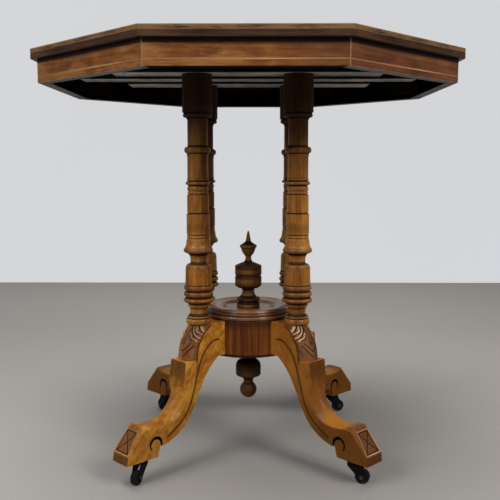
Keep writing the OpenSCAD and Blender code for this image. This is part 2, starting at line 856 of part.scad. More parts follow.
module pendant() {
  // Depths of the members below the disc
  collar_to = pendant_collar_height;
  neck_to = collar_to + pendant_neck_height;
  bell_to = neck_to + bell_height;
  ball_neck_to = bell_to + ball_neck_height;
  ball_centre = ball_neck_to + sqrt(pow(ball_radius, 2) - pow(ball_neck_radius, 2));
  start_angle = asin(ball_neck_radius / ball_radius);
  color("darkolivegreen")
    translate([0, 0, disc_under])
      mirror([0, 0, 1])
        rotate_extrude($fn = 96)
          polygon(concat(
            [[0, -disc_thickness - spigot_depth], [spigot_radius, -disc_thickness - spigot_depth],
             [spigot_radius, 0]],
            bead(0, collar_to, pendant_collar_radius - 2, pendant_collar_radius),
            [[pendant_collar_radius - 5, collar_to + eps], [pendant_collar_radius - 5.5, neck_to - 1],
             [pendant_collar_radius - 4, neck_to]],
            swell(neck_to + eps, neck_to + bell_height * 0.36, pendant_collar_radius - 4, bell_radius),
            [[bell_radius, bell_to - 7], [bell_radius - 1, bell_to - 5.5],
             [ball_neck_radius + 1.5, bell_to]],
            [[ball_neck_radius - 0.4, bell_to + ball_neck_height / 2]],
            [for (i = [0:14]) let (a = start_angle + (180 - start_angle) * i / 14)
              [ball_radius * sin(a), ball_centre - ball_radius * cos(a)]]
          ));
}

// Legs, drawn in side view: distance from the axis, height above the floor

module leg_dowel_pair(extra = 0) {
  for (height = [leg_top - 16, hub_bottom + 16])
    translate([hub_flat - dowel_length / 2, 0, height])
      rotate([0, 90, 0])
        cylinder(h = dowel_length, r = dowel_radius + extra);
}

scroll_x = heel_reach + 4.7;
scroll_z = castor_height + heel_height + 7;
// The curl inside the scroll cut, set a little lower and further out
curl_at = [scroll_x + 0.7, scroll_z - 2];
curl_radius = scroll_radius - scroll_cut / 2 - 0.65;
// Where the heel meets the mouth of the scroll cut
mouth_z = castor_height + heel_height + 1.5;
mouth_x = curl_at[0] - sqrt(pow(curl_radius, 2) - pow(curl_at[1] - mouth_z, 2));
// Distance from the axis to the step from the level top down to the ledge
knee_root = knee_centre + knee_radius / 2;

// Outer face of the leg from the ledge over the toe to the foot of its facet
shin_start = [ledge_reach - 1, ledge_height];
shin_end = [toe_reach - toe_length, toe_top - 1.5];
shin_span = shin_end - shin_start;
shin_curve = curve(shin_start, shin_start + [0.05 * shin_span[0], 0.49 * shin_span[1]],
  shin_start + [0.21 * shin_span[0], 1.03 * shin_span[1]], shin_end, 14);
toe_line = [
  [facet_reach - 7, toe_top], [facet_reach, toe_top - 5],
  [(facet_reach + toe_reach - 2) / 2, (toe_top - 5 + castor_height + toe_end_height) / 2],
  [toe_reach - 2, castor_height + toe_end_height]
];
shin_path = concat(shin_curve, toe_line);

// Underside of the leg, from the heel up to the hub; it stays below the ledge
root_under = min(hub_bottom, ledge_height - 1.5);
heel_top = [heel_reach - 9.5, castor_height + heel_height];
root_end = [hub_flat + root_length, root_under];
calf_span = root_end - heel_top;
calf_curve = curve(heel_top, heel_top + [0.65 * calf_span[0], 0.12 * calf_span[1]],
  root_end - [0.48 * calf_span[0], 0.32 * calf_span[1]], root_end, 16);

module leg_outline() {
  polygon(concat(
    [[hub_flat, hub_bottom], [hub_flat, leg_top], [knee_root, leg_top], [knee_root, ledge_height]],
    shin_path,
    [[toe_reach, castor_height],
     [heel_reach + 2, castor_height], [heel_reach + 0.6, castor_height + 2],
     [mouth_x, mouth_z]],
    calf_curve,
    root_under < hub_bottom
      ? [[disc_radius + 1, root_under], [disc_radius + 1, hub_bottom]]
      : []
  ));
}

// Crown of the shin at a step of its path: nothing at the ledge, full on the
// shin, the facet's taper at the toe and nothing again at the foot of the facet
shin_last = len(shin_path) - 1;
facet_step = len(shin_curve) + 1;
function crown_at(step) =
  step < facet_step
    ? let (rise = min(1, step / 8), fade = max(0, (step - 9) / (facet_step - 9)))
      shin_crown * pow(sin(90 * rise), 2) * (1 - fade) + facet_taper * fade
    : facet_taper * (shin_last - step) / (shin_last - facet_step);

// Unit vector out of the leg at a step of the path
function shin_normal(step) =
  let (ahead = shin_path[min(shin_last, step + 1)] - shin_path[max(0, step - 1)])
    [-ahead[1], ahead[0]] / norm(ahead);

// Wedge cut from one arris of the shin, its inner side an elliptic quarter
module shin_rounding() {
  half = leg_thickness / 2;
  arc = 6;
  ring = arc + 2;
  places = [for (step = [0:shin_last])
    let (crown = max(crown_at(step), eps), out = shin_normal(step), at = shin_path[step],
         reach = min(half, crown * 1.25))
      concat(
        [for (k = [0:arc]) let (a = 90 * k / arc)
          [at[0] - out[0] * crown * (1 - sin(a)), half - reach * (1 - cos(a)),
           at[1] - out[1] * crown * (1 - sin(a))]],
        [[at[0] + out[0] * 4, half + 4, at[1] + out[1] * 4]])];
  faces = concat(
    [for (step = [0:shin_last - 1]) for (k = [0:ring - 1])
      let (a = step * ring + k, b = step * ring + (k + 1) % ring, c = a + ring, d = b + ring)
        each [[a, b, d], [a, d, c]]],
    [[for (k = [ring - 1:-1:0]) k]],
    [[for (k = [0:ring - 1]) shin_last * ring + k]]);
  polyhedron([for (place = places) each place], faces);
}

// Crescent cut round the curled end of the scroll, open at the heel
module scroll_outline() {
  difference() {
    translate([scroll_x, scroll_z])
      circle(r = scroll_radius);
    translate(curl_at)
      circle(r = curl_radius);
    translate([scroll_x, mouth_z - 4 - far])
      square([far, far]);
    translate([scroll_x - far, mouth_z - 0.5 - far])
      square([far, far]);
  }
  polygon([
    [scroll_x - scroll_radius + 1.5, mouth_z], [mouth_x + eps, mouth_z],
    [mouth_x, mouth_z - 4], [scroll_x - scroll_radius + 1.5, mouth_z - 4]
  ]);
}

// The rounded knee: a D section swung about a level line through the leg
module knee() {
  intersection() {
    translate([knee_centre, 0, ledge_height])
      rotate([90, 0, 0])
        rotate_extrude(angle = 90, $fn = 128)
          union() {
            translate([0, -leg_thickness / 2])
              square([knee_radius, leg_thickness]);
            intersection() {
              translate([knee_radius, 0])
                scale([knee_bulge / (leg_thickness / 2), 1])
                  circle(r = leg_thickness / 2, $fn = 48);
              translate([knee_radius - eps, -leg_thickness])
                square([2 * leg_thickness, 2 * leg_thickness]);
            }
          }
    translate([hub_flat, -leg_thickness, ledge_height])
      cube([far, 2 * leg_thickness, leg_top - ledge_height]);
  }
}

module leg(angle) {
  color("goldenrod")
    on_corner(angle)
      difference() {
        union() {
          translate([0, leg_thickness / 2, 0])
            rotate([90, 0, 0])
              linear_extrude(leg_thickness)
                difference() {
                  leg_outline();
                  scroll_outline();
                }
          knee();
        }
        translate([column_offset * sqrt(2), 0, leg_top - lower_peg_length])
          cylinder(h = lower_peg_length + 1, r = peg_radius + fit_gap);
        shin_rounding();
        mirror([0, 1, 0]) shin_rounding();
        leg_dowel_pair(fit_gap);
        castor_screw_places() screw(castor_screw_length, fit_gap);
      }
}

module leg_front_left() { leg(front_left); }
module leg_front_right() { leg(front_right); }
module leg_rear_right() { leg(rear_right); }
module leg_rear_left() { leg(rear_left); }

module leg_dowels() {
  color("tan")
    for (angle = corners)
      on_corner(angle) leg_dowel_pair();
}

// Castors, on one leg: x runs out along the leg

castor_screw_length = 16;
castor_screw_circle = castor_plate_radius - 4;
plate_under = castor_height - castor_plate_thickness;
swivel_top = plate_under - turn_gap;
swivel_under = swivel_top - swivel_thickness;
pin_head_radius = king_pin_radius + 2.5;
pin_head_height = 2;
cheek_inner = wheel_width / 2 + turn_gap;
cheek_outer = cheek_inner + cheek_thickness;
axle_head_radius = axle_radius + 1.5;
axle_head_height = 1.2;
boss_radius = axle_radius + 3;

module castor_screw_places() {
  for (turn = [0:2])
    translate([castor_reach, 0, plate_under])
      rotate(120 * turn)
        translate([castor_screw_circle, 0, 0])
          scale([0.65, 0.65, 1])
            children();
}

// The plate and its riveted king pin are one pressing
module castor_plate(angle) {
  color("black")
    on_corner(angle)
      difference() {
        translate([castor_reach, 0, 0]) {
          translate([0, 0, plate_under])
            cylinder(h = castor_plate_thickness, r = castor_plate_radius);
          translate([0, 0, swivel_under - turn_gap])
            cylinder(h = plate_under - swivel_under + turn_gap + eps, r = king_pin_radius);
          translate([0, 0, swivel_under - turn_gap - pin_head_height])
            cylinder(h = pin_head_height, r = pin_head_radius);
        }
        castor_screw_places() screw(castor_screw_length, fit_gap);
      }
}

module castor_plate_front_left() { castor_plate(front_left); }
module castor_plate_front_right() { castor_plate(front_right); }
module castor_plate_rear_right() { castor_plate(rear_right); }
module castor_plate_rear_left() { castor_plate(rear_left); }

module castor_screws() {
  color("silver")
    for (angle = corners)
      on_corner(angle)
        castor_screw_places() screw(castor_screw_length);
}

// Places a castor member: x runs from the swivel towards the axle
module at_castor(angle, heading) {
  on_corner(angle)
    translate([castor_reach, 0, 0])
      rotate(heading - angle)
        children();
}

// Side view of a fork cheek
module cheek_outline() {
  difference() {
    union() {
      polygon([
        [-swivel_radius, swivel_top], [swivel_radius, swivel_top],
        [castor_trail + boss_radius, wheel_radius + 1],
        [castor_trail + boss_radius * 0.7, wheel_radius - boss_radius * 0.7],
        [castor_trail - boss_radius * 0.7, wheel_radius - boss_radius * 0.7],
        [-swivel_radius, swivel_under - 4]
      ]);
      translate([castor_trail, wheel_radius])
        circle(r = boss_radius, $fn = 32);
    }
    translate([castor_trail, wheel_radius])
      circle(r = axle_radius + fit_gap, $fn = 32);
  }
}

module castor_fork(angle, heading) {
  color("black")
    at_castor(angle, heading)
      difference() {
        union() {
          translate([0, 0, swivel_under])
            cylinder(h = swivel_thickness, r = swivel_radius);
          for (side = [-1, 1])
            translate([0, side * (cheek_inner + cheek_outer) / 2 + cheek_thickness / 2, 0])
              rotate([90, 0, 0])
                linear_extrude(cheek_thickness)
                  cheek_outline();
        }
        translate([0, 0, swivel_under - 1])
          cylinder(h = swivel_thickness + 2, r = king_pin_radius + run_gap);
      }
}

module castor_fork_front_left() { castor_fork(front_left, heading_front_left); }
module castor_fork_front_right() { castor_fork(front_right, heading_front_right); }
module castor_fork_rear_right() { castor_fork(rear_right, heading_rear_right); }
module castor_fork_rear_left() { castor_fork(rear_left, heading_rear_left); }

module castor_axle(angle, heading) {
  color("dimgray")
    at_castor(angle, heading)
      translate([castor_trail, 0, wheel_radius])
        rotate([90, 0, 0]) {
          cylinder(h = 2 * cheek_outer + 2 * eps, r = axle_radius, center = true);
          for (side = [-1, 1])
            translate([0, 0, side * (cheek_outer + axle_head_height / 2)])
              cylinder(h = axle_head_height, r = axle_head_radius, center = true);
        }
}

module castor_axle_front_left() { castor_axle(front_left, heading_front_left); }
module castor_axle_front_right() { castor_axle(front_right, heading_front_right); }
module castor_axle_rear_right() { castor_axle(rear_right, heading_rear_right); }
module castor_axle_rear_left() { castor_axle(rear_left, heading_rear_left); }

module castor_wheel(angle, heading) {
  half = wheel_width / 2;
  color("black")
    at_castor(angle, heading)
      translate([castor_trail, 0, wheel_radius])
        rotate([90, 0, 0])
          rotate_extrude()
            polygon([
              [axle_radius + run_gap, -half], [boss_radius, -half], [boss_radius + 1, 1 - half],
              [wheel_radius - 2.5, 1 - half], [wheel_radius - 2, -half],
              [wheel_radius - 1, -half], [wheel_radius, 1 - half],
              [wheel_radius, half - 1], [wheel_radius - 1, half],
              [wheel_radius - 2, half], [wheel_radius - 2.5, half - 1],
              [boss_radius + 1, half - 1], [boss_radius, half], [axle_radius + run_gap, half]
            ]);
}

module castor_wheel_front_left() { castor_wheel(front_left, heading_front_left); }
module castor_wheel_front_right() { castor_wheel(front_right, heading_front_right); }
module castor_wheel_rear_right() { castor_wheel(rear_right, heading_rear_right); }
module castor_wheel_rear_left() { castor_wheel(rear_left, heading_rear_left); }

top_core();
veneer_field();
veneer_line();
veneer_crossband();
edge_lipping();
edge_moulding();
apron_front();
apron_front_right();
apron_right();
apron_rear_right();
apron_rear();
apron_rear_left();
apron_left();
apron_front_left();
apron_stringing();
corner_stringing();
corner_blocks();
block_screws();
bearer_front();
bearer_middle();
bearer_rear();
bearer_screws();
column_front_left();
column_front_right();
column_rear_right();
column_rear_left();
hub_drum();
hub_plate();
plate_screws();
hub_disc();
disc_screws();
finial();
pendant();
leg_front_left();
leg_front_right();
leg_rear_right();
leg_rear_left();
leg_dowels();
castor_plate_front_left();
castor_plate_front_right();
castor_plate_rear_right();
castor_plate_rear_left();
castor_screws();
castor_fork_front_left();
castor_fork_front_right();
castor_fork_rear_right();
castor_fork_rear_left();
castor_axle_front_left();
castor_axle_front_right();
castor_axle_rear_right();
castor_axle_rear_left();
castor_wheel_front_left();
castor_wheel_front_right();
castor_wheel_rear_right();
castor_wheel_rear_left();
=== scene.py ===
"""Dresses the side table: inlaid octagonal top, turned columns, carved legs, castors.

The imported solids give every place; this script adds the turned and carved surfaces
and the polished woods. Lengths are in metres, but a leg is worked out in millimetres.
"""

import logging
import math
from dataclasses import dataclass, field
from enum import Enum
from typing import Any

import bpy
import numpy as np
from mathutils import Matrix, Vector


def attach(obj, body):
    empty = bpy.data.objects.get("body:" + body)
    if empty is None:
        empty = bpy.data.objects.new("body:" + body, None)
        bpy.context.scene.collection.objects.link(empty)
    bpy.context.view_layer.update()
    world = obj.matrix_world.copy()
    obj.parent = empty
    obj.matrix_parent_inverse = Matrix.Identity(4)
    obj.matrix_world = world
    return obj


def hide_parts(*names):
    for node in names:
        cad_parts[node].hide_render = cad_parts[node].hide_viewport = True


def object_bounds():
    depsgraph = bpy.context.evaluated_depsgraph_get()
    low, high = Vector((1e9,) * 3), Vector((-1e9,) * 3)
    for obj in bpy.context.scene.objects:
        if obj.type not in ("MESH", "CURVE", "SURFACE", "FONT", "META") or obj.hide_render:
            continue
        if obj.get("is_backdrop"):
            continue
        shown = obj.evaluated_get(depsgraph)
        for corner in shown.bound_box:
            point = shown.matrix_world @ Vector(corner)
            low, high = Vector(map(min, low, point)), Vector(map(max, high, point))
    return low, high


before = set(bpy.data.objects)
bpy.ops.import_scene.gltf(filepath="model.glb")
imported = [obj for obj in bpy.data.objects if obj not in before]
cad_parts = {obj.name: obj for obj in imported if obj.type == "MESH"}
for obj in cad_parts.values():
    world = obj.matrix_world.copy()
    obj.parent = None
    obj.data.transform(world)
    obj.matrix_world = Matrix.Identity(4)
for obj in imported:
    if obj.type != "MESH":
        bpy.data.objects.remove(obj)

CAD_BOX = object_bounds()

Array = np.ndarray
Colour = tuple[float, float, float]
Pairs = tuple[tuple[float, float], ...]
MM = 0.001

log = logging.getLogger("side_table")


class Corner(Enum):
    """The four corners that carry a leg, with the direction each faces, in degrees."""

    FRONT_LEFT = 225.0
    FRONT_RIGHT = 315.0
    REAR_RIGHT = 45.0
    REAR_LEFT = 135.0

    @property
    def label(self) -> str:
        """The corner's name as the nodes spell it."""
        return self.name.lower()

    @property
    def signs(self) -> tuple[float, float]:
        """Which side of the middle the corner is on, across and in depth."""
        angle = math.radians(self.value)
        return math.copysign(1.0, math.cos(angle)), math.copysign(1.0, math.sin(angle))


class Side(Enum):
    """The eight sides of the top, with the direction each faces, in degrees."""

    RIGHT = 0.0
    REAR_RIGHT = 45.0
    REAR = 90.0
    REAR_LEFT = 135.0
    LEFT = 180.0
    FRONT_LEFT = 225.0
    FRONT = 270.0
    FRONT_RIGHT = 315.0

    @property
    def label(self) -> str:
        """The side's name as the nodes spell it."""
        return self.name.lower()


# Shader graphs


class Value:
    """A node's output. Arithmetic on it adds Math nodes to the material."""

    def __init__(self, nodes: "Nodes", socket: bpy.types.NodeSocket) -> None:
        """Wraps one output socket."""
        self.nodes = nodes
        self.socket = socket

    def join(self, operation: str, other: Any, swapped: bool = False) -> "Value":
        """Adds a Math node.

        Args:
            operation: name of the Math node's operation.
            other: the second operand, a Value or a number.
            swapped: whether the other operand comes first.
        Returns:
            The node's output.
        """
        pair = (other, self) if swapped else (self, other)
        return self.nodes.add("ShaderNodeMath", {"operation": operation}, {0: pair[0], 1: pair[1]})

    def change(self, operation: str) -> "Value":
        """Adds a Math node that takes this value alone."""
        return self.nodes.add("ShaderNodeMath", {"operation": operation}, {0: self})

    def __add__(self, other: Any) -> "Value":
        """Sum."""
        return self.join("ADD", other)

    __radd__ = __add__

    def __mul__(self, other: Any) -> "Value":
        """Product."""
        return self.join("MULTIPLY", other)

    __rmul__ = __mul__

    def __sub__(self, other: Any) -> "Value":
        """Difference."""
        return self.join("SUBTRACT", other)

    def __rsub__(self, other: Any) -> "Value":
        """Difference from a number."""
        return self.join("SUBTRACT", other, True)

    def step(self, low: float, high: float) -> "Value":
        """A smooth step: 0 at low, 1 at high; low may be the larger of the two."""
        turned = low > high
        start, end = (high, low) if turned else (low, high)
        rising = self.nodes.add(
            "ShaderNodeMapRange",
            {"interpolation_type": "SMOOTHSTEP"},
            {"Value": self, "From Min": start, "From Max": end},
        )
        return 1.0 - rising if turned else rising

    def size(self) -> "Value":
        """The value without its sign."""
        return self.change("ABSOLUTE")

    def near(self, centre: float, width: float) -> "Value":
        """A soft band: 1 at the centre, 0 a width away."""
        return (self - centre).size().step(width, width * 0.25)

    def larger(self, other: Any) -> "Value":
        """The larger of two values."""
        return self.join("MAXIMUM", other)


class Nodes:
    """The node graph of one material."""

    def __init__(self, name: str) -> None:
        """Makes a material with an empty graph."""
        self.material = bpy.data.materials.new(name)
        self.material.use_nodes = True
        self.tree = self.material.node_tree
        self.tree.nodes.clear()

    def add(
        self,
        kind: str,
        settings: dict[str, Any] | None = None,
        inputs: dict[Any, Any] | None = None,
        output: Any = 0,
    ) -> Value:
        """Adds any node.

        Args:
            kind: the node's type.
            settings: its settings, set first; "stops" fills a colour ramp.
            inputs: values or links of its sockets, by name or number.
            output: which output to return.
        Returns:
            That output.
        """
        node = self.tree.nodes.new(kind)
        for key, value in (settings or {}).items():
            if key == "stops":
                ramp = node.color_ramp.elements
                while len(ramp) < len(value):
                    ramp.new(0.5)
                for element, (place, colour) in zip(ramp, value):
                    element.position = place
                    element.color = (*colour, 1.0)
            else:
                setattr(node, key, value)
        for key, value in (inputs or {}).items():
            if isinstance(value, Value):
                self.tree.links.new(value.socket, node.inputs[key])
            elif isinstance(value, tuple) and len(value) == 3 and node.inputs[key].type == "RGBA":
                node.inputs[key].default_value = (*value, 1.0)
            else:
                node.inputs[key].default_value = value
        return Value(self, node.outputs[output] if len(node.outputs) else None)

    def place(self) -> Value:
        """The point on the object, in its own coordinates."""
        return self.add("ShaderNodeTexCoord", output="Object")

    def attribute(self, name: str) -> Value:
        """A number stored on the mesh."""
        return self.add("ShaderNodeAttribute", {"attribute_name": name}, output="Fac")

    def parts(self, vector: Value) -> tuple[Value, Value, Value]:
        """The three components of a vector."""
        first = self.add("ShaderNodeSeparateXYZ", inputs={0: vector})
        outputs = first.socket.node.outputs
        return first, Value(self, outputs[1]), Value(self, outputs[2])

    def joined(self, x: Value, y: Value, z: Value) -> Value:
        """A vector from three numbers."""
        return self.add("ShaderNodeCombineXYZ", inputs={0: x, 1: y, 2: z})

    def turned(self, vector: Value, degrees: tuple[float, float, float]) -> Value:
        """A vector turned about X, then Y, then Z."""
        return self.add(
            "ShaderNodeMapping",
            inputs={"Vector": vector, "Rotation": tuple(math.radians(a) for a in degrees)},
        )

    def scaled(self, vector: Value, scale: tuple[float, float, float]) -> Value:
        """A vector with each component scaled."""
        return self.add("ShaderNodeMapping", inputs={"Vector": vector, "Scale": scale})

    def noise(self, vector: Value, scale: float, detail: float = 3.0, rough: float = 0.5) -> Value:
        """Noise from 0 to 1 on a vector."""
        return self.add(
            "ShaderNodeTexNoise",
            inputs={"Vector": vector, "Scale": scale, "Detail": detail, "Roughness": rough},
        )

    def drawn(self, vector: Value, along: float, across: float, detail: float, rough: float = 0.5) -> Value:
        """Noise drawn out along X, its two scales given as steps to the metre."""
        return self.noise(self.scaled(vector, (along, across, across)), 1.0, detail, rough)

    def mix(self, share: Any, first: Any, second: Any) -> Value:
        """A colour between two colours."""
        return self.add(
            "ShaderNodeMix", {"data_type": "RGBA"}, {0: share, 6: first, 7: second}, output=2
        )

    def layered(self, colour: Value, *layers: tuple[Any, Any]) -> Value:
        """A colour with others laid over it in order, each given with its share."""
        for share, tone in layers:
            colour = self.mix(share, colour, tone)
        return colour

    def ramp(self, value: Value, stops: list[tuple[float, Colour]]) -> Value:
        """A colour looked up along a ramp."""
        return self.add("ShaderNodeValToRGB", {"stops": stops}, {0: value})

    def bump(self, height: Value, depth: float) -> Value:
        """A normal from a height map, with its depth in metres."""
        return self.add("ShaderNodeBump", inputs={"Height": height, "Distance": depth, "Strength": 1.0})

    def surface(self, inputs: dict[str, Any]) -> Value:
        """A surface shader with these values or links on its sockets."""
        return self.add("ShaderNodeBsdfPrincipled", inputs=inputs)

    def close(self, surface: Value) -> bpy.types.Material:
        """Joins a shader to the material's output and returns the material."""
        self.add("ShaderNodeOutputMaterial", inputs={"Surface": surface})
        return self.material

    def finish(self, inputs: dict[str, Any]) -> bpy.types.Material:
        """The material with one surface shader, given by its sockets."""
        return self.close(self.surface(inputs))


def tinted(colour: Colour, factor: float) -> Colour:
    """A colour made lighter or darker by a factor."""
    red, green, blue = colour
    return red * factor, green * factor, blue * factor


@dataclass(frozen=True)
class Grain:
    """What the figure of a wood gives to a shader."""

    colour: Value
    height: Value
    streak: Value
    blotch: Value


@dataclass(frozen=True)
class Timber:
    """A polished wood: its three tones, the pitch of its figure and its gloss."""

    dark: Colour
    mid: Colour
    pale: Colour
    pore: Colour = (0.030, 0.012, 0.006)
    pitch: float = 150.0
    wander: float = 6.0
    pores: float = 0.45
    gloss: float = 0.38
    coat: float = 0.06
    shine: float = 0.28
    mottle: float = 0.2

    def polish(self) -> dict[str, Any]:
        """What the polish sets on a surface shader."""
        return {"Coat Weight": self.coat, "Specular IOR Level": self.shine}

    def grain(self, nodes: Nodes, along: Value) -> Grain:
        """Figure, streaks and pores; X of the vector runs along the grain.

        Growth lines are a sine across the grain, bent by noise drawn out along it.

        Args:
            nodes: the graph to add to.
            along: place on the piece, turned so that X follows the grain.
        Returns:
            Colour, height and masks.
        """
        _, across, _ = nodes.parts(along)
        bend = nodes.drawn(along, 1.6, 11.0, 4.0, 0.55)
        phase = across * self.pitch + bend * self.wander
        rings = phase.change("SINE") * 0.5 + 0.5
        streak = nodes.drawn(along, 9.0, 330.0, 3.0, 0.6)
        fine = nodes.drawn(along, 60.0, 1500.0, 1.0)
        blotch = nodes.drawn(along, 6.0, 15.0, 3.0, 0.6)
        tone = bend * 0.75 + rings * 0.2 + streak * 0.6 + blotch * 0.9 - 0.72
        fleck = nodes.drawn(along, 45.0, 120.0, 4.0, 0.65)
        pore = fine.step(0.60, 0.72) * streak.step(0.35, 0.6) * self.pores
        colour = nodes.layered(
            nodes.ramp(tone, [(0.26, self.dark), (0.50, self.mid), (0.74, self.pale)]),
            (fleck.step(0.5, 0.78) * self.mottle, tinted(self.pale, 1.15)),
            (fleck.step(0.48, 0.26) * self.mottle, tinted(self.dark, 0.5)),
            (pore, self.pore),
        )
        return Grain(colour, streak * 0.6 - pore, streak, blotch)


@dataclass(frozen=True)
class Metal:
    """A worn metal: its colour, the colour of its dirt and its gloss."""

    clean: Colour
    dirt: Colour
    metallic: float
    gloss: float
    share: float = 0.5

    def dress(self, name: str) -> bpy.types.Material:
        """Builds the material: clean metal with patches of dirt, faintly pitted."""
        nodes = Nodes(name)
        place = nodes.place()
        patch = nodes.noise(place, 90.0, 4.0, 0.6)
        pits = nodes.noise(place, 900.0, 2.0)
        dirty = patch.step(self.share + 0.12, self.share - 0.12)
        return nodes.finish(
            {
                "Base Color": nodes.mix(dirty, self.clean, self.dirt),
                "Metallic": self.metallic * (1.0 - dirty * 0.6),
                "Roughness": dirty * 0.3 + self.gloss + pits * 0.1,
                "Specular IOR Level": 0.18,
                "Normal": nodes.bump(pits * 0.5 + patch, 0.0004),
            }
        )


# Finishes of this table

APRON = Timber((0.095, 0.026, 0.005), (0.215, 0.071, 0.013), (0.42, 0.175, 0.038), wander=12.0, mottle=0.5)
APRON_RED = Timber((0.050, 0.013, 0.005), (0.112, 0.033, 0.011), (0.21, 0.075, 0.025), wander=9.0)
FIELD = Timber((0.055, 0.018, 0.006), (0.150, 0.055, 0.018), (0.27, 0.120, 0.040), wander=11.0)
BAND = Timber((0.022, 0.009, 0.005), (0.048, 0.023, 0.013), (0.095, 0.048, 0.026))
TURNED = Timber(
    (0.120, 0.036, 0.004), (0.270, 0.098, 0.012), (0.43, 0.190, 0.034), wander=8.0, shine=0.22, mottle=0.45
)
HUB = Timber(
    (0.075, 0.016, 0.003), (0.140, 0.038, 0.005), (0.20, 0.064, 0.011), pitch=480.0, wander=40.0, shine=0.15
)
PLATE = Timber(
    (0.110, 0.042, 0.016), (0.200, 0.082, 0.031), (0.31, 0.150, 0.064), gloss=0.30, coat=0.2, shine=0.36
)
OLIVE = Timber((0.105, 0.042, 0.006), (0.235, 0.103, 0.017), (0.380, 0.190, 0.042), coat=0.04, shine=0.2)
UMBER = Timber((0.050, 0.018, 0.003), (0.120, 0.047, 0.008), (0.210, 0.092, 0.020), coat=0.02, shine=0.2)
LEG = Timber(
    (0.230, 0.078, 0.006), (0.520, 0.215, 0.022), (0.700, 0.350, 0.058), wander=9.0, shine=0.12, mottle=0.75
)
KNEE = Timber(
    (0.110, 0.036, 0.010), (0.260, 0.098, 0.029), (0.44, 0.205, 0.080), gloss=0.28, coat=0.15, shine=0.35
)
PINE = Timber((0.130, 0.090, 0.055), (0.230, 0.170, 0.110), (0.34, 0.26, 0.18), gloss=0.6, coat=0.0)
DUSTY = Timber(
    (0.150, 0.142, 0.134), (0.300, 0.288, 0.274), (0.46, 0.44, 0.42), gloss=0.7, coat=0.0, mottle=0.5
)
RAW = Timber((0.20, 0.19, 0.18), (0.52, 0.51, 0.49), (0.80, 0.79, 0.76), gloss=0.8, coat=0.0, mottle=0.7)
BOX = Timber((0.24, 0.120, 0.042), (0.39, 0.210, 0.080), (0.52, 0.300, 0.125), pores=0.1)
STEEL = Metal((0.30, 0.29, 0.27), (0.05, 0.035, 0.025), 0.9, 0.35)
DARK_STEEL = Metal((0.10, 0.09, 0.08), (0.02, 0.015, 0.012), 0.8, 0.40)
IRON = Metal((0.007, 0.006, 0.006), (0.003, 0.003, 0.002), 0.2, 0.46)
WHEEL = Metal((0.013, 0.011, 0.010), (0.006, 0.005, 0.005), 0.0, 0.50)
OLD_POLISH = (0.008, 0.003, 0.001)
RED_STAIN = (0.055, 0.014, 0.008)
NEAR_BLACK = (0.004, 0.003, 0.003)


# Meshes


def add_object(name: str, data: bpy.types.ID) -> bpy.types.Object:
    """Adds an object to the scene."""
    piece = bpy.data.objects.new(name, data)
    bpy.context.scene.collection.objects.link(piece)
    return piece


def smooth(mesh: bpy.types.Mesh, sharp: float) -> None:
    """Shades a mesh smooth, but for edges sharper than an angle in degrees."""
    mesh.polygons.foreach_set("use_smooth", np.ones(len(mesh.polygons), dtype=bool))
    mesh.set_sharp_from_angle(angle=math.radians(sharp))
    mesh.update()


def mesh_points(mesh: bpy.types.Mesh) -> Array:
    """The vertices of a mesh, N by 3."""
    points = np.zeros(len(mesh.vertices) * 3, np.float32)
    mesh.vertices.foreach_get("co", points)
    return points.reshape(-1, 3).astype(float)


def arc(centre: tuple[float, float], radius: float, start: float, end: float, count: int) -> Array:
    """Points of an arc between two angles in degrees, N by 2."""
    turn = np.radians(np.linspace(start, end, count))
    return np.stack([centre[0] + radius * np.cos(turn), centre[1] + radius * np.sin(turn)], 1)


def climb(values: Array, start: float, end: float) -> Array:
    """0 at the start, 1 at the end, straight between them and level beyond."""
    return np.clip((values - start) / (end - start), 0.0, 1.0)


def bell(gap: Array, width: Any) -> Array:
    """1 on a line, falling off smoothly over about its width to either side."""
    return np.exp(-((gap / width) ** 2))


def make_piece(name: str, points: Array, faces: list[Any], sharp: float = 32.0) -> bpy.types.Object:
    """Makes a smooth-shaded mesh object at the origin.

    Args:
        name: the piece's name.
        points: N by 3 places, in metres.
        faces: corner numbers of each face, anticlockwise from outside.
        sharp: angle in degrees past which an edge stays sharp.
    Returns:
        The new object.
    """
    mesh = bpy.data.meshes.new(name)
    mesh.from_pydata(points.tolist(), [], faces)
    mesh.validate()
    smooth(mesh, sharp)
    return add_object(name, mesh)


def store(piece: bpy.types.Object, name: str, values: Array) -> None:
    """Stores one number for each vertex."""
    attribute = piece.data.attributes.new(name, "FLOAT", "POINT")
    attribute.data.foreach_set("value", values.astype(np.float32).ravel())


def quads(rows: int, columns: int, closed: bool) -> Array:
    """Corner numbers of the faces of a grid of points.

    Args:
        rows: number of rows.
        columns: number of points in a row.
        closed: whether a row joins up with its own start.
    Returns:
        Faces as an N by 4 array.
    """
    row = np.arange(rows - 1)[:, None]
    column = np.arange(columns if closed else columns - 1)[None, :]
    following = (column + 1) % columns
    corners = (
        row * columns + column,
        row * columns + following,
        (row + 1) * columns + following,
        (row + 1) * columns + column,
    )
    return np.stack([np.broadcast_to(c, (rows - 1, column.size)) for c in corners], -1).reshape(-1, 4)


def settle(piece: bpy.types.Object, body: str, slot: str, *nodes: str) -> bpy.types.Object:
    """Gives a piece its body and hides the nodes it stands for."""
    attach(piece, body)
    if nodes:
        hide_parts(*nodes)
    log.info("%s: %d faces, rides on %s", piece.name, len(piece.data.polygons), body)
    return piece


def paint(node: str, material: bpy.types.Material) -> None:
    """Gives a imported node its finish."""
    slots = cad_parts[node].data.materials
    slots.clear()
    slots.append(material)
    log.info("%s: painted %s", node, material.name)


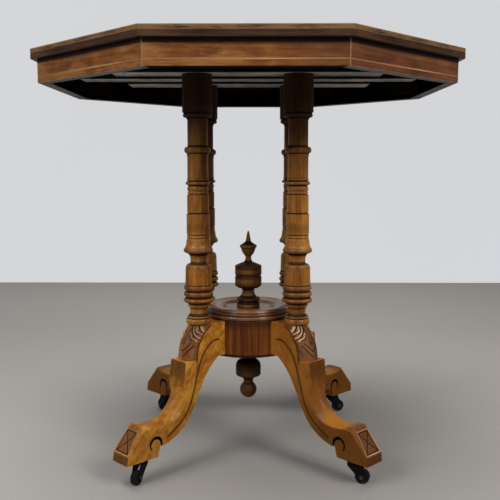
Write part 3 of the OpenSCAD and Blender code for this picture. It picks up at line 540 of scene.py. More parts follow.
@dataclass
class Turning:
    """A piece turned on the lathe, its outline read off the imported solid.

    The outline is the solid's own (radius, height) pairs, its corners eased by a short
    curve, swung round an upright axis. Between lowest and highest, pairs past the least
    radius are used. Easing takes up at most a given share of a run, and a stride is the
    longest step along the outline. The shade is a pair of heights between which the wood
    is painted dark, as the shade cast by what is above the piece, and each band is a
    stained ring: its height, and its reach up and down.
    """

    node: str
    timber: Timber
    slot: str
    centre: tuple[float, float] = (0.0, 0.0)
    lowest: float = -1.0
    highest: float = 9.0
    least: float = 0.0
    ease: float = 0.0006
    most: float = 0.42
    stride: float = 0.0035
    turns: int = 96
    shade: tuple[float, float] = (9.0, 10.0)
    soil: float = 0.9
    bands: Pairs = ()
    stain: float = 0.0

    def pairs(self) -> Array:
        """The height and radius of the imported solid's points, each pair once, N by 2."""
        points = mesh_points(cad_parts[self.node].data)
        radius = np.hypot(points[:, 0] - self.centre[0], points[:, 1] - self.centre[1])
        return np.unique(np.round(np.stack([points[:, 2], radius], 1), 5), axis=0)

    def outline(self) -> Array:
        """Outline from the bottom up, N by 2.

        Points at one height are put in the order that continues from the point before.

        Returns:
            Radius and height of each point.
        """
        pairs = self.pairs()
        inside = (pairs[:, 0] > self.lowest) & (pairs[:, 0] < self.highest) & (pairs[:, 1] > self.least)
        pairs = pairs[inside]
        ordered: list[tuple[float, float]] = []
        last = 0.0
        for height in np.unique(pairs[:, 0]):
            level = np.sort(pairs[pairs[:, 0] == height, 1])
            if abs(level[0] - last) > abs(level[-1] - last):
                level = level[::-1]
            ordered += [(r, height) for r in level]
            last = level[-1]
        return np.array(ordered)

    def eased(self, outline: Array) -> Array:
        """Outline with each corner eased and long runs divided.

        A corner becomes three points of the quadratic curve that touches both runs.

        Args:
            outline: the sharp outline, N by 2.
        Returns:
            The eased outline.
        """
        keep = np.ones(len(outline), bool)
        keep[1:] = np.linalg.norm(np.diff(outline, axis=0), axis=1) > 0.03 * MM
        path = outline[keep]
        before, corner, after = path[:-2], path[1:-1], path[2:]
        back, ahead = before - corner, after - corner
        length_back = np.linalg.norm(back, axis=1, keepdims=True)
        length_ahead = np.linalg.norm(ahead, axis=1, keepdims=True)
        reach = np.minimum(self.ease, self.most * np.minimum(length_back, length_ahead))
        first = corner + back / length_back * reach
        last = corner + ahead / length_ahead * reach
        middle = 0.25 * first + 0.5 * corner + 0.25 * last
        eased = np.stack([first, middle, last], 1).reshape(-1, 2)
        path = np.concatenate([path[:1], eased, path[-1:]])
        gaps = np.linalg.norm(np.diff(path, axis=0), axis=1)
        counts = np.maximum(1, np.ceil(gaps / self.stride)).astype(int)
        index = np.repeat(np.arange(len(gaps)), counts)
        share = np.concatenate([np.arange(n) / n for n in counts])[:, None]
        return np.concatenate([path[index] * (1 - share) + path[index + 1] * share, path[-1:]])

    @staticmethod
    def hollows(path: Array) -> Array:
        """How deep each point lies below the members round it, 0 to 1.

        The depth is measured to the largest radius within 3.4 mm up and down, which
        counts for less the farther it is away.

        Args:
            path: the outline, N by 2.
        Returns:
            One number for each point.
        """
        gap = np.abs(path[:, 1][:, None] - path[:, 1][None, :])
        reach = path[:, 0][None, :] - gap * 0.8
        crest = np.where(gap < 3.4 * MM, reach, 0.0).max(1)
        depth = np.clip((crest - path[:, 0]) / (1.6 * MM), 0.0, 1.0)
        return np.where(gap < 0.5 * MM, depth[None, :], 0.0).max(1)

    def mesh(self, path: Array) -> bpy.types.Object:
        """Swings the outline round the axis, with a pole at either end.

        Args:
            path: the finished outline, N by 2.
        Returns:
            The piece, with its hollows stored for the finish.
        """
        angle = 2 * math.pi * np.arange(self.turns) / self.turns
        rings = np.stack(
            [
                self.centre[0] + path[:, 0, None] * np.cos(angle),
                self.centre[1] + path[:, 0, None] * np.sin(angle),
                np.broadcast_to(path[:, 1, None], (len(path), self.turns)),
            ],
            -1,
        ).reshape(-1, 3)
        poles = np.array([[*self.centre, path[0, 1]], [*self.centre, path[-1, 1]]])
        count, first = len(rings), np.arange(self.turns)
        following = (first + 1) % self.turns
        top = (len(path) - 1) * self.turns
        faces = quads(len(path), self.turns, True).tolist()
        faces += np.stack([np.full(self.turns, count), following, first], 1).tolist()
        faces += np.stack([np.full(self.turns, count + 1), first + top, following + top], 1).tolist()
        piece = make_piece(self.node + "_turned", np.concatenate([rings, poles]), faces, 60.0)
        hollow = np.repeat(self.hollows(path), self.turns)
        store(piece, "hollow", np.concatenate([hollow, [0.0, 0.0]]))
        return piece

    def finish(self) -> bpy.types.Material:
        """Polished wood, dark with old polish in the hollows, stained in bands, and painted dark towards the
        top as shade.
        """
        nodes = Nodes(self.node + "_finish")
        across, depth, height = nodes.parts(nodes.place())
        upright = nodes.joined(height + self.centre[0] * 7.0, across, depth + self.centre[1])
        grain = self.timber.grain(nodes, upright)
        hollow = nodes.attribute("hollow")
        dirt = (hollow + grain.blotch * 0.5 - 0.25).step(0.05, 0.6)
        stains = [(height.near(middle, reach) * self.stain, RED_STAIN) for middle, reach in self.bands]
        # Painted shade: the wood goes near black towards the top, where the parts above shade it
        upper = height.step(*self.shade)
        colour = nodes.layered(
            grain.colour, (dirt * self.soil, OLD_POLISH), *stains, (upper * 0.86, (0.012, 0.002, 0.001))
        )
        matt = dirt * 0.22 + upper * 0.3 + (1.0 - grain.streak) * 0.12
        return nodes.finish(
            {
                "Base Color": colour,
                "Roughness": matt + self.timber.gloss - 0.06,
                **self.timber.polish(),
                "Coat Roughness": 0.18,
                "Normal": nodes.bump(grain.height, 0.00025),
            }
        )

    def build(self) -> bpy.types.Object:
        """Builds and dresses the piece."""
        piece = self.mesh(self.eased(self.outline()))
        piece.data.materials.append(self.finish())
        return settle(piece, "table", self.slot, self.node)


@dataclass
class DishedPlate(Turning):
    """The moulded plate of the hub, with a flat dish inside its rim.

    The socket is the radius inside which the solid is bored for the finial; the points
    round the screws are left out too. Above turn_in the outline leans inward.
    """

    rim: float = 0.0705
    socket: float = 0.012
    turn_in: float = 0.27
    screws: float = 0.044
    screw_head: float = 0.0028
    floor_edge: float = 0.0478
    swell_foot: float = 0.2725

    def outline(self) -> Array:
        """Outline up the outside, over the rim and down into the dish, N by 2."""
        pairs = self.pairs()
        outer = pairs[pairs[:, 1] > self.rim]
        inner = pairs[(pairs[:, 1] <= self.rim) & (pairs[:, 0] >= self.lowest)]
        inner = inner[np.abs(inner[:, 1] - self.screws) > self.screw_head]
        inner = inner[inner[:, 1] > self.socket]
        upward = np.where(outer[:, 0] > self.turn_in, 1, -1)
        outer = outer[np.lexsort((-outer[:, 1] * upward, outer[:, 0]))]
        inner = inner[np.lexsort((-inner[:, 1], -inner[:, 0]))]
        return np.concatenate([outer, inner])[:, ::-1]

    def hollows(self, path: Array) -> Array:
        """Dirt between the outer members, and a thin line round the floor of the dish."""
        foot = bell(path[:, 0] - self.floor_edge, 1.1 * MM)
        inner = (path[:, 0] < self.rim) | (path[:, 1] > self.swell_foot)
        return np.where(inner, foot * 0.9, Turning.hollows(path))


# Legs, worked out in the plane of the leg: distance out, across, height


def cubic(start: Array, first: Array, second: Array, end: Array, share: Array) -> Array:
    """Points of the cubic curve with these four control points."""
    t = share[:, None]
    return (1 - t) ** 3 * start + 3 * t * (1 - t) ** 2 * first + 3 * t**2 * (1 - t) * second + t**3 * end


def line_gap(points: Array, line: Array) -> Array:
    """Signed distance from points in a plane to a line through given points.

    Each point takes its nearest stretch; the sign says on which side it lies.

    Args:
        points: places, ... by 2.
        line: the line's points, N by 2.
    Returns:
        Distance of each point.
    """
    start, run = line[:-1], np.diff(line, axis=0)
    offset = points[..., None, :] - start
    share = np.clip((offset * run).sum(-1) / (run * run).sum(-1), 0.0, 1.0)
    gap = offset - share[..., None] * run
    length = np.sqrt((gap * gap).sum(-1))
    nearest = length.argmin(-1)[..., None]
    side = np.sign(run[:, 0] * offset[..., 1] - run[:, 1] * offset[..., 0])
    return np.take_along_axis(length * side, nearest, -1)[..., 0]


# Numbers stored on a leg for its finish: four masks, the distances in millimetres from
# the two incised lines, and where the longer line shows. FAR is past any line's reach.
FAR = 9.0
LEG_MASKS = ("cut", "panel", "rim", "shade", "knee_line", "shin_line", "open")


@dataclass
class LegShape:
    """Sizes of a leg in its own plane, in millimetres, and its surface.

    The outer surface is a grid: rows run from the hub over the knee, the ledge and
    the shin to the toe, columns run across. The underside has the same rows. Half is
    half the thickness of the leg, reach is that of the outer surface inside the eased
    edges, corner is the chamfer of the ledge, and open_span is the stretch on which the
    longer of the two incised lines shows.
    """

    half: float = 21.0
    reach: float = 20.6
    corner: float = 0.6
    root: float = 81.33
    top: float = 256.0
    ledge: float = 196.0
    ledge_reach: float = 174.0
    knee_centre: float = 80.0
    knee_edge: float = 69.8
    knee_bulge: float = 17.7
    crown: float = 16.0
    toe_hollow: tuple[float, float] = (250.5, 99.5)
    toe_top: tuple[float, float] = (266.5, 101.0)
    facet_top: tuple[float, float] = (273.5, 96.0)
    facet_foot: tuple[float, float] = (299.5, 60.0)
    toe_end: tuple[float, float] = (301.5, 43.0)
    calf: tuple[float, float] = (96.33, 194.5)
    heel: tuple[float, float] = (226.5, 60.0)
    mouth: tuple[float, float] = (232.14, 61.5)
    heel_foot: Pairs = ((236.4, 45.6), (237.0, 43.8), (238.0, 43.0))
    sole_middle: tuple[float, float] = (284.0, 43.0)
    sole_end: tuple[float, float] = (300.4, 43.0)
    open_span: tuple[float, float] = (96.0, 218.0)
    taper: float = 5.5
    knee_rows: int = 116
    shin_rows: int = 70
    toe_rows: tuple[int, int] = (10, 8)
    facet_rows: int = 56
    columns: int = 97

    @property
    def across(self) -> Array:
        """Places of the columns across the leg, closest together at the sides."""
        return np.sin(np.linspace(-0.5 * math.pi, 0.5 * math.pi, self.columns)) * self.reach

    def shin_line(self, share: Array) -> Array:
        """Middle line of the shin, from the ledge to the hollow before the toe."""
        start, end = np.array([self.ledge_reach, self.ledge]), np.array(self.toe_hollow)
        span = end - start
        return cubic(
            start, start + span * [0.05, 0.49], start + span * [0.21, 1.03], end, share
        )

    def calf_line(self, share: Array) -> Array:
        """Underside from the hub to the heel."""
        start, end = np.array(self.calf), np.array(self.heel)
        span = end - start
        return cubic(start, start + span * [0.48, 0.32], end - span * [0.65, 0.12], end, share)

    def rounded(self, strength: Array, full: bool = False) -> Array:
        """Drop of the surface below its middle, for each row and column.

        The knee is half an ellipse across; the shin is a flat arch.

        Args:
            strength: height of the middle above the edges, for each row.
            full: whether the section is an ellipse.
        Returns:
            Drop in millimetres, rows by columns.
        """
        share = np.abs(self.across) / self.reach
        drop = 1 - np.sqrt(np.clip(1 - share**2, 0, 1)) if full else share**2.2
        return strength[:, None] * drop[None, :]

    def knee_part(self, ease: Array) -> tuple[list[Array], dict[str, Array]]:
        """Flat top, rounded knee and ledge.

        The knee is a circle about its centre, its radius swelling to the middle. The
        flat top runs out to where the knee rises through it.

        Args:
            ease: drop of the eased edges, for each column.
        Returns:
            Three grids of places, and the carving of the knee.
        """
        bulged = self.knee_edge + self.knee_bulge - self.rounded(np.array([self.knee_bulge]), True)[0]
        rise = self.top - self.ledge
        brow = self.knee_centre + np.sqrt(bulged**2 - rise**2)
        flat_out = self.root + (brow - self.root) * np.linspace(0, 1, 9)[:, None]
        flat = np.stack([flat_out, np.full_like(flat_out, self.top) - ease], -1)
        start = np.arcsin(rise / bulged)
        turn = start[None, :] * (1 - np.linspace(0, 1, self.knee_rows + 1)[1:, None])
        carving = self.carve_knee(turn * (bulged + 4) / 2 + turn * 38)
        radius = bulged[None, :] - carving["depth"]
        knee_out = self.knee_centre + radius * np.cos(turn)
        knee = np.stack([knee_out, self.ledge + radius * np.sin(turn)], -1)
        run = self.ledge_reach - self.corner - knee_out[-1:]
        ledge_out = knee_out[-1:] + run * np.linspace(0, 1, 7)[1:, None]
        ledge = np.stack([ledge_out, np.full_like(ledge_out, self.ledge) - ease], -1)
        return [flat, knee, ledge], carving

    def shin_part(self, ease: Array) -> Array:
        """Shin, its crown growing down from the ledge and fading at the toe.

        A place is a point of the middle line moved inward, square to the line, by the
        drop of the flat arch.

        Args:
            ease: drop of the eased edges, for each column.
        Returns:
            A grid of places.
        """
        share = np.linspace(0, 1, self.shin_rows)
        middle = self.shin_line(share)
        ahead = np.gradient(middle, axis=0)
        outward = np.stack([-ahead[:, 1], ahead[:, 0]], 1) / np.linalg.norm(ahead, axis=1, keepdims=True)
        grow, fade = climb(share, 0.24, 0.50), climb(share, 0.62, 1.0)
        crown = self.crown * (grow * grow * (3 - 2 * grow)) * (1 - fade) + self.taper * 0.6 * fade
        shin = middle[:, None] - outward[:, None] * (self.rounded(crown) + ease)[..., None]
        shin[0, :, 1] -= self.corner
        return shin

    def toe_part(self, ease: Array) -> tuple[list[Array], dict[str, Array]]:
        """Toe: a short top face, the slope to the facet, the carved facet, and the end.

        A place is a point of the middle line moved inward, along the tilt of its face,
        by the bevel at the sides and the depth of the carving.

        Args:
            ease: drop of the eased edges, for each column.
        Returns:
            Two grids of places, the second for the end, and the carving of the facet.
        """
        corners = [np.array(p) for p in (self.toe_hollow, self.toe_top, self.facet_top, self.facet_foot)]
        rows = zip(corners, corners[1:], (*self.toe_rows, self.facet_rows))
        middle = np.concatenate([a + (b - a) * (np.arange(1, n + 1) / n)[:, None] for a, b, n in rows])
        level, slope = self.toe_rows
        lead = level + slope
        along = np.concatenate([np.zeros(lead), np.arange(1, self.facet_rows + 1) / self.facet_rows])
        tilt = np.array([[0.1, 0.995]] * level + [[0.58, 0.81]] * slope + [[0.83, 0.555]] * self.facet_rows)
        taper = self.taper * np.concatenate([np.linspace(0.6, 1, lead), 1 - along[lead:] * 0.92])
        bevel = np.clip(np.abs(self.across)[None, :] - (self.reach - taper[:, None]), 0, None)
        carving = self.carve_facet(along, taper)
        drop = bevel * 1.05 + ease + carving["depth"]
        toe = middle[:, None] - tilt[:, None] * drop[..., None]
        last = np.array(self.toe_end) + [-0.1, 0.8]
        end = toe[-1:] + (last - toe[-1:]) * np.linspace(0, 1, 7)[1:, None, None]
        end[..., 0] -= ease
        return [toe, end], carving

    def outer(self) -> dict[str, Array]:
        """The outer surface: a grid of places, and what is carved where.

        Returns:
            The grid "places", the masks "cut", "panel", "rim" and "shade", and the
            number of rows in each part as "blocks".
        """
        ease = climb(np.abs(self.across), self.reach - 0.7, self.reach) ** 2 * 0.5
        upper, knee = self.knee_part(ease)
        lower, facet = self.toe_part(ease)
        parts = [*upper, self.shin_part(ease), *lower]
        blocks = [len(part) for part in parts]
        ends = np.cumsum(blocks).tolist()
        knee_rows, shin_rows, toe_rows = (slice(ends[n - 1], ends[n]) for n in (1, 3, 4))
        cut, panel, rim, shade = (np.zeros((ends[-1], self.columns)) for _ in range(4))
        # The rim mask holds the painted highlight of the knee's scoops and the worn border of the toe facet
        cut[knee_rows], panel[knee_rows], rim[knee_rows] = knee["cut"], 1.0, knee["pale"]
        cut[toe_rows], rim[toe_rows], panel[toe_rows] = facet["cut"], facet["rim"] * 0.62, facet["sunk"]
        # Darker just below the ledge, fading down the shin; darker in the sunk facet panel and on the toe's
        # end
        shade[shin_rows] = np.clip(1.5 - np.linspace(0, 3.2, self.shin_rows), 0.3, 1)[:, None]
        shade[toe_rows] = facet["sunk"] * 0.5
        shade[toe_rows.stop :] = 0.9
        masks = {"cut": cut, "panel": panel, "rim": rim, "shade": shade}
        return {"places": np.concatenate(parts), "blocks": np.array(blocks), **masks}

    def carve_knee(self, along: Array) -> dict[str, Array]:
        """Carving of the knee: two plain veins low down, and nested gouge cuts above.

        A vein is a narrow groove. A gouge cut is steep on one side of its line and
        rises slowly on the other, so that a scoop lies beside a dark edge; the scoop is
        lightened by a painted highlight. Both halves are alike.

        Args:
            along: place up the knee in millimetres, rows by columns.
        Returns:
            Depth, darkness and the painted highlight of the scoops, rows by columns.
        """
        side = np.broadcast_to(np.abs(self.across)[None, :], along.shape)
        place = np.stack([side, along], -1)
        veins = [
            [(14.5, 30.5), (10.0, 24.0), (5.5, 19.5), (1.0, 15.5)],
            [(18.3, 26.5), (13.5, 18.3), (9.0, 12.5), (3.5, 6.5)],
            [(6.0, 62.0), (4.0, 50.0), (3.2, 40.0), (1.4, 28.0)],
        ]
        gouges = [
            [(4.0, 66.0), (6.5, 57.0), (10.0, 49.5), (14.0, 44.5), (17.2, 41.8), (20.2, 39.6)],
            [(10.4, 62.0), (11.4, 56.0), (13.6, 52.0), (16.6, 50.4), (19.6, 49.6)],
            [(7.6, 45.0), (8.4, 41.0), (11.4, 37.8), (16.2, 36.2)],
            [(12.0, 67.5), (15.4, 62.5), (18.4, 57.0), (20.0, 53.5)],
        ]
        depth, cut, pale = (np.zeros_like(along) for _ in range(3))
        for vein in veins:
            gap = line_gap(place, np.array(vein, float))
            depth += 1.3 * bell(gap, 0.8)
            cut = np.maximum(cut, bell(gap, 0.85))
        for gouge in gouges:
            gap = line_gap(place, np.array(gouge, float))
            depth = np.maximum(depth, 1.9 * bell(gap, np.where(gap > 0, 2.4, 0.55)))
            cut = np.maximum(cut, bell(gap - 0.2, 0.85))
            # Painted highlight in the scoop beside the cut
            pale = np.maximum(pale, bell(gap - 2.4, 1.2))
        edge = climb(self.reach - np.abs(self.across), 0.0, 1.2)[None, :]
        foot = climb(along, 0.0, 1.5)
        return {"depth": depth * edge * foot, "cut": cut, "pale": pale * (1 - cut)}

    def carve_facet(self, along: Array, taper: Array) -> dict[str, Array]:
        """Carving of the toe facet: a sunk panel with a cross, inside a plain border.

        Args:
            along: share of the way down the facet for each row, 0 above it.
            taper: how much narrower each row is at either side.
        Returns:
            Depth, darkness, border mask and panel mask, rows by columns.
        """
        width = (self.reach - taper)[:, None]
        across = np.broadcast_to(self.across[None, :] / width, (len(along), len(self.across)))
        down = np.broadcast_to(along[:, None], across.shape)
        inside = (down > 0) & (np.abs(across) < 1)
        half, length = 17.0, 44.4
        place = np.stack([across * half, down * length], -1)
        border = np.minimum.reduce([(1 - np.abs(across)) * half, down * length, (1 - down) * length])
        corner, low, high = half * 0.8, 3.6, length - 3.6
        cross = [[(-corner, low), (corner, high)], [(corner, low), (-corner, high)]]
        gaps = [np.abs(line_gap(place, np.array(c))) for c in cross] + [np.abs(border - 3.3)]
        groove = bell(np.minimum.reduce(gaps), 1.1) * inside
        sunk = climb(border, 3.0, 3.6) * inside
        notch = bell(np.abs(self.across)[None, :] - 7.0, 0.7) * (down == 0)
        notch[: self.toe_rows[0]] = 0
        rim = climb(np.abs(border - 1.4), 1.8, 0.0) * inside
        return {
            "depth": 0.6 * sunk + 1.0 * groove + 0.6 * notch,
            "cut": np.maximum(groove, notch),
            "rim": rim,
            "sunk": sunk * 0.8,
        }

    def inner(self, blocks: Array) -> Array:
        """Underside places that pair with the rows of the outer surface.

        Args:
            blocks: number of rows of the top, knee, ledge, shin, toe and end.
        Returns:
            Distance and height for each row.
        """
        top, knee, ledge, shin, toe, end = blocks.tolist()
        start = np.linspace([self.root, self.calf[1]], self.calf, top)
        knee_part = self.calf_line(np.linspace(0, 0.2, knee + 1)[1:])
        ledge_part = self.calf_line(np.linspace(0.2, 0.3, ledge + 1)[1:])
        shin_part = self.calf_line(np.linspace(0.3, 0.95, shin + 1)[1:])
        heel_rows = np.concatenate(
            [
                self.calf_line(np.linspace(0.95, 1, 11)[1:]),
                np.linspace(self.heel, self.mouth, 4)[1:],
                np.linspace(self.mouth, self.heel_foot[0], 6)[1:],
                np.array(self.heel_foot[1:]),
            ]
        )
        sole = np.linspace(self.heel_foot[-1], self.sole_middle, toe - len(heel_rows) + 1)[1:]
        last = np.linspace(self.sole_middle, self.sole_end, end + 1)[1:]
        return np.concatenate([start, knee_part, ledge_part, shin_part, heel_rows, sole, last])

    def incised(self) -> list[Array]:
        """The two lines cut into either side of the leg, in its plane."""
        knee = arc((self.knee_centre, self.ledge), self.knee_edge - 1.5, 58, 0, 24)
        s_line = np.array(
            [(93, 224), (99, 226), (107, 225.5), (116, 221), (127, 212), (136, 200), (143, 184), (149, 165),
             (156, 141), (163, 121), (173, 104), (187, 91), (204, 79.5), (220, 71.5)], float
        )
        return [knee, s_line]

    def surface(self) -> tuple[Array, list[Any], dict[str, Array]]:
        """The whole closed surface.

        A row's loop goes over the outer surface from one side to the other, down the
        far side, back along the underside and up the near side.

        Returns:
            Points, faces and the numbers stored for the finish.
        """
        outer = self.outer()
        inner = self.inner(outer["blocks"])
        places = outer["places"]
        rows = len(places)
        across = np.broadcast_to(self.across, (rows, self.columns))
        crown = np.stack([places[..., 0], across, places[..., 1]], -1)
        share = np.linspace(0, 1, 32)
        under = np.stack([inner[:, 0], np.zeros(rows), inner[:, 1]], -1)

        def flank(edge: Array, side: float) -> Array:
            """A flat side, from the outer edge to the underside."""
            first, last = edge.copy(), under.copy()
            first[:, 1] = last[:, 1] = side * self.half
            run = last - first
            length = np.linalg.norm(run, axis=1, keepdims=True)
            first, last = first + run / length * 0.5, last - run / length * 0.5
            return first[:, None] + (last - first)[:, None] * share[None, :, None]

        far_side, near_side = flank(crown[:, -1], 1.0), flank(crown[:, 0], -1.0)[:, ::-1]
        sole = np.repeat(under[:, None], 7, 1)
        sole[:, :, 1] = np.linspace(self.half - 0.5, -self.half + 0.5, 7)
        loop = np.concatenate([crown, far_side, sole, near_side], 1)
        width = loop.shape[1]
        points = loop.reshape(-1, 3)
        faces = quads(rows, width, True)[:, ::-1].tolist()
        faces.append(list(range(width)))
        faces.append(list(range(rows * width - 1, (rows - 1) * width - 1, -1)))
        extra = width - self.columns
        stored = {
            name: np.concatenate([outer[name], np.zeros((rows, extra))], 1).ravel()
            for name in LEG_MASKS[:4]
        }
        plane = points[:, [0, 2]]
        flat = np.abs(points[:, 1]) > self.half - 0.01
        for name, path in zip(LEG_MASKS[4:6], self.incised()):
            values = np.full(len(points), FAR)
            values[flat] = line_gap(plane[flat], path)
            stored[name] = values
        open_part = (plane[:, 0] > self.open_span[0]) & (plane[:, 0] < self.open_span[1])
        stored["open"] = np.where(flat & open_part, 1.0, 0.0)
        return points, faces, stored


@dataclass
class Legs:
    """The four legs: one shape, cut by the scroll, turned to each corner."""

    shape: LegShape = field(default_factory=LegShape)
    timber: Timber = LEG
    panel: Timber = KNEE

    def scroll(self) -> bpy.types.Object:
        """The body that cuts the scroll: a crescent between two arcs, open at the heel."""
        over = arc((240.9, 67.0), 13.5, 207, -46, 44)
        back = arc((241.5, 65.0), 9.9, -49, 201, 40)
        outline = np.concatenate([[[229.0, 57.5]], over, back, [[232.1, 57.5]]])
        count = len(outline)
        sides = (-30.0, -20.7, 20.7, 30.0)
        index = np.arange(count)
        faces = quads(len(sides), count, True).tolist()
        faces += [index[::-1].tolist(), (index + count * (len(sides) - 1)).tolist()]
        rings = [np.insert(outline, 1, side, axis=1) for side in sides]
        cutter = make_piece("scroll_cutter", np.concatenate(rings), faces)
        away = {"cut": 1.0, "knee_line": FAR, "shin_line": FAR}
        for name in LEG_MASKS:
            store(cutter, name, np.full(len(sides) * count, away.get(name, 0.0)))
        return cutter

    def carved(self) -> bpy.types.Mesh:
        """One leg in its own plane, in millimetres, with the scroll cut through."""
        points, faces, stored = self.shape.surface()
        leg = make_piece("leg_blank", points, faces)
        for name, values in stored.items():
            store(leg, name, values)
        cutter = self.scroll()
        cut = leg.modifiers.new("scroll", "BOOLEAN")
        cut.object, cut.operation, cut.solver = cutter, "DIFFERENCE", "MANIFOLD"
        graph = bpy.context.evaluated_depsgraph_get()
        mesh = bpy.data.meshes.new_from_object(leg.evaluated_get(graph))
        for helper in (leg, cutter):
            bpy.data.objects.remove(helper)
        mesh.materials.clear()
        return mesh

    def finish(self, corner: Corner) -> bpy.types.Material:
        """Honey-coloured, mottled polish on the flanks, browner on the carved knee.

        All legs but the front left one are redder, darker low down, and lightened on
        the crown above the toe by a painted highlight. Incised lines and carving are dark
        with old polish; the border of the toe facet is worn, and the scoops beside the
        knee's gouge cuts carry painted highlights. The grain follows the leg's slope.

        Args:
            corner: which leg, so that the grain lies in its plane.
        Returns:
            The material.
        """
        nodes = Nodes("leg_finish_" + corner.label)
        local = nodes.turned(nodes.place(), (0.0, 0.0, -corner.value))
        out, side, up = nodes.parts(local)
        redness = 0.0 if corner is Corner.FRONT_LEFT else 0.72
        along = nodes.turned(local, (0.0, -48.0, 0.0))
        flank = self.timber.grain(nodes, along)
        knee = self.panel.grain(nodes, along)
        cut, panel, rim, shade, knee_line, shin_line, open_part = map(nodes.attribute, LEG_MASKS)
        knee_gap, shin_gap = knee_line.size(), shin_line.size()
        line = knee_gap.step(2.1, 1.3).larger(shin_gap.step(1.6, 0.8) * open_part)
        red = nodes.drawn(along, 28.0, 75.0, 4.0, 0.6).step(0.45, 0.66)
        cloud = nodes.noise(local, 115.0, 5.0, 0.7)
        wood = nodes.layered(
            flank.colour,
            (red * 0.62, (0.33, 0.092, 0.010)),
            (cloud.step(0.50, 0.70) * 0.55, (0.190, 0.055, 0.008)),
            (cloud.step(0.48, 0.30) * 0.45, (0.80, 0.40, 0.060)),
            (redness, (0.22, 0.056, 0.006)),
            (up.step(0.180, 0.070) * (0.3 + redness * 0.62), (0.100, 0.034, 0.006)),
        )
        carved = nodes.mix(redness * 0.8, knee.colour, (0.060, 0.020, 0.008))
        # Worn border of the toe facet, and painted highlights in the knee's scoops
        worn = rim * (flank.blotch.step(0.3, 0.55) * 0.6 + 0.4 + redness * 0.25)
        outer = (side * side).step(0.00043, 0.00040)
        # Painted highlight on the crown above the toe, for all legs but the front left one
        crown = outer * out.step(0.190, 0.215) * out.step(0.262, 0.245) * redness
        facet = outer * out.step(0.262, 0.270) * (0.0 if redness else 0.42)
        dark = cut.step(0.2, 0.75).larger(line)
        near_line = knee_gap.step(7.0, 1.5).larger(shin_gap.step(6.0, 1.0) * open_part)
        soiled = flank.blotch.step(0.58, 0.8) * 0.2 + near_line * flank.blotch.step(0.35, 0.6) * 0.4
        colour = nodes.layered(
            nodes.mix(panel, wood, carved),
            (shade * (0.95 - flank.streak * 0.3), (0.070, 0.024, 0.005)),
            (worn, (0.66, 0.40, 0.23)),
            (crown * (0.35 + flank.streak * 0.4), (0.66, 0.27, 0.034)),
            (facet, (0.090, 0.036, 0.010)),
            (dark * 0.95, (0.012, 0.004, 0.002)),
            (soiled, (0.11, 0.034, 0.006)),
        )
        return nodes.finish(
            {
                "Base Color": colour,
                "Roughness": dark * 0.25 + (1.0 - flank.streak) * 0.16 + self.timber.gloss + 0.02,
                **self.timber.polish(),
                "Coat Roughness": 0.2,
                "Normal": nodes.bump(flank.height * 0.25 - line, 0.0009),
            }
        )

    def build(self) -> list[bpy.types.Object]:
        """Builds the four legs."""
        blank = self.carved()
        points = mesh_points(blank) * MM
        legs = []
        for corner in Corner:
            mesh = blank.copy()
            angle = math.radians(corner.value)
            out = np.array([math.cos(angle), math.sin(angle), 0.0])
            sideways = np.array([-math.sin(angle), math.cos(angle), 0.0])
            placed = points[:, :1] * out + points[:, 1:2] * sideways + points[:, 2:] * [0.0, 0.0, 1.0]
            mesh.vertices.foreach_set("co", placed.astype(np.float32).ravel())
            smooth(mesh, 34.0)
            leg = add_object("leg_" + corner.label + "_carved", mesh)
            leg.data.materials.append(self.finish(corner))
            legs.append(settle(leg, "table", "walnut_leg", "leg_" + corner.label))
        return legs


@dataclass
class Columns:
    """The four turned columns."""

    pitch: float = 0.177
    lowest: float = 0.2555
    highest: float = 0.6975
    peg: float = 0.0095
    # Heights between which the column heads are painted dark as the shade of the top
    shade: tuple[float, float] = (0.535, 0.655)
    bands: Pairs = (
        (0.2980, 0.004), (0.3100, 0.005), (0.3220, 0.006), (0.3595, 0.006), (0.3900, 0.007), (0.4300, 0.012)
    )

    def build(self) -> list[bpy.types.Object]:
        """Builds the four columns."""
        pieces = []
        for corner in Corner:
            x_side, y_side = corner.signs
            turning = Turning(
                "column_" + corner.label,
                TURNED,
                "walnut_turned",
                (x_side * self.pitch / 2, y_side * self.pitch / 2),
                lowest=self.lowest,
                highest=self.highest,
                least=self.peg,
                shade=self.shade,
                bands=self.bands,
                stain=0.36,
            )
            pieces.append(turning.build())
        return pieces


@dataclass
class Hub:
    """Plate, finial and pendant, turned, and the drum between the legs."""

    plate_floor: float = 0.2704
    disc_under: float = 0.1906
    disc_top: float = 0.1945
    bands: Pairs = (
        (0.2780, 0.003), (0.2860, 0.003), (0.3100, 0.010), (0.3285, 0.0045), (0.3335, 0.0045), (0.3490, 0.009)
    )

    def drum(self) -> bpy.types.Material:
        """Dark red-brown wood with its grain upright."""
        nodes = Nodes("hub_drum_finish")
        across, depth, height = nodes.parts(nodes.place())
        grain = HUB.grain(nodes, nodes.joined(height, across, depth))
        shadow = height.step(0.236, 0.256) * 0.7
        disc = height.step(self.disc_top + 0.0012, self.disc_top + 0.0002)
        return nodes.finish(
            {
                "Base Color": nodes.mix(shadow.larger(disc * 0.9), grain.colour, (0.010, 0.003, 0.002)),
                "Roughness": (1.0 - grain.streak) * 0.2 + HUB.gloss,
                **HUB.polish(),
                "Normal": nodes.bump(grain.height, 0.0003),
            }
        )

    def build(self) -> list[bpy.types.Object]:
        """Builds the turned pieces and paints the rest of the hub."""
        finial = {"lowest": self.plate_floor, "bands": self.bands, "stain": 0.85}
        # The pendant's upper part is painted dark as the shade under the disc
        pendant = {"highest": self.disc_under, "shade": (0.125, 0.170)}
        pieces = [
            DishedPlate("hub_plate", PLATE, "walnut_plate", lowest=self.plate_floor, soil=0.7).build(),
            Turning("finial", OLIVE, "olive_turned", least=-1.0, **finial).build(),
            Turning("pendant", UMBER, "olive_turned", least=-1.0, **pendant).build(),
        ]
        drum = self.drum()
        for node in ("hub_drum", "hub_disc"):
            paint(node, drum)
        for node in ("plate_screws", "disc_screws"):
            paint(node, DARK_STEEL.dress(node + "_finish"))
        return pieces


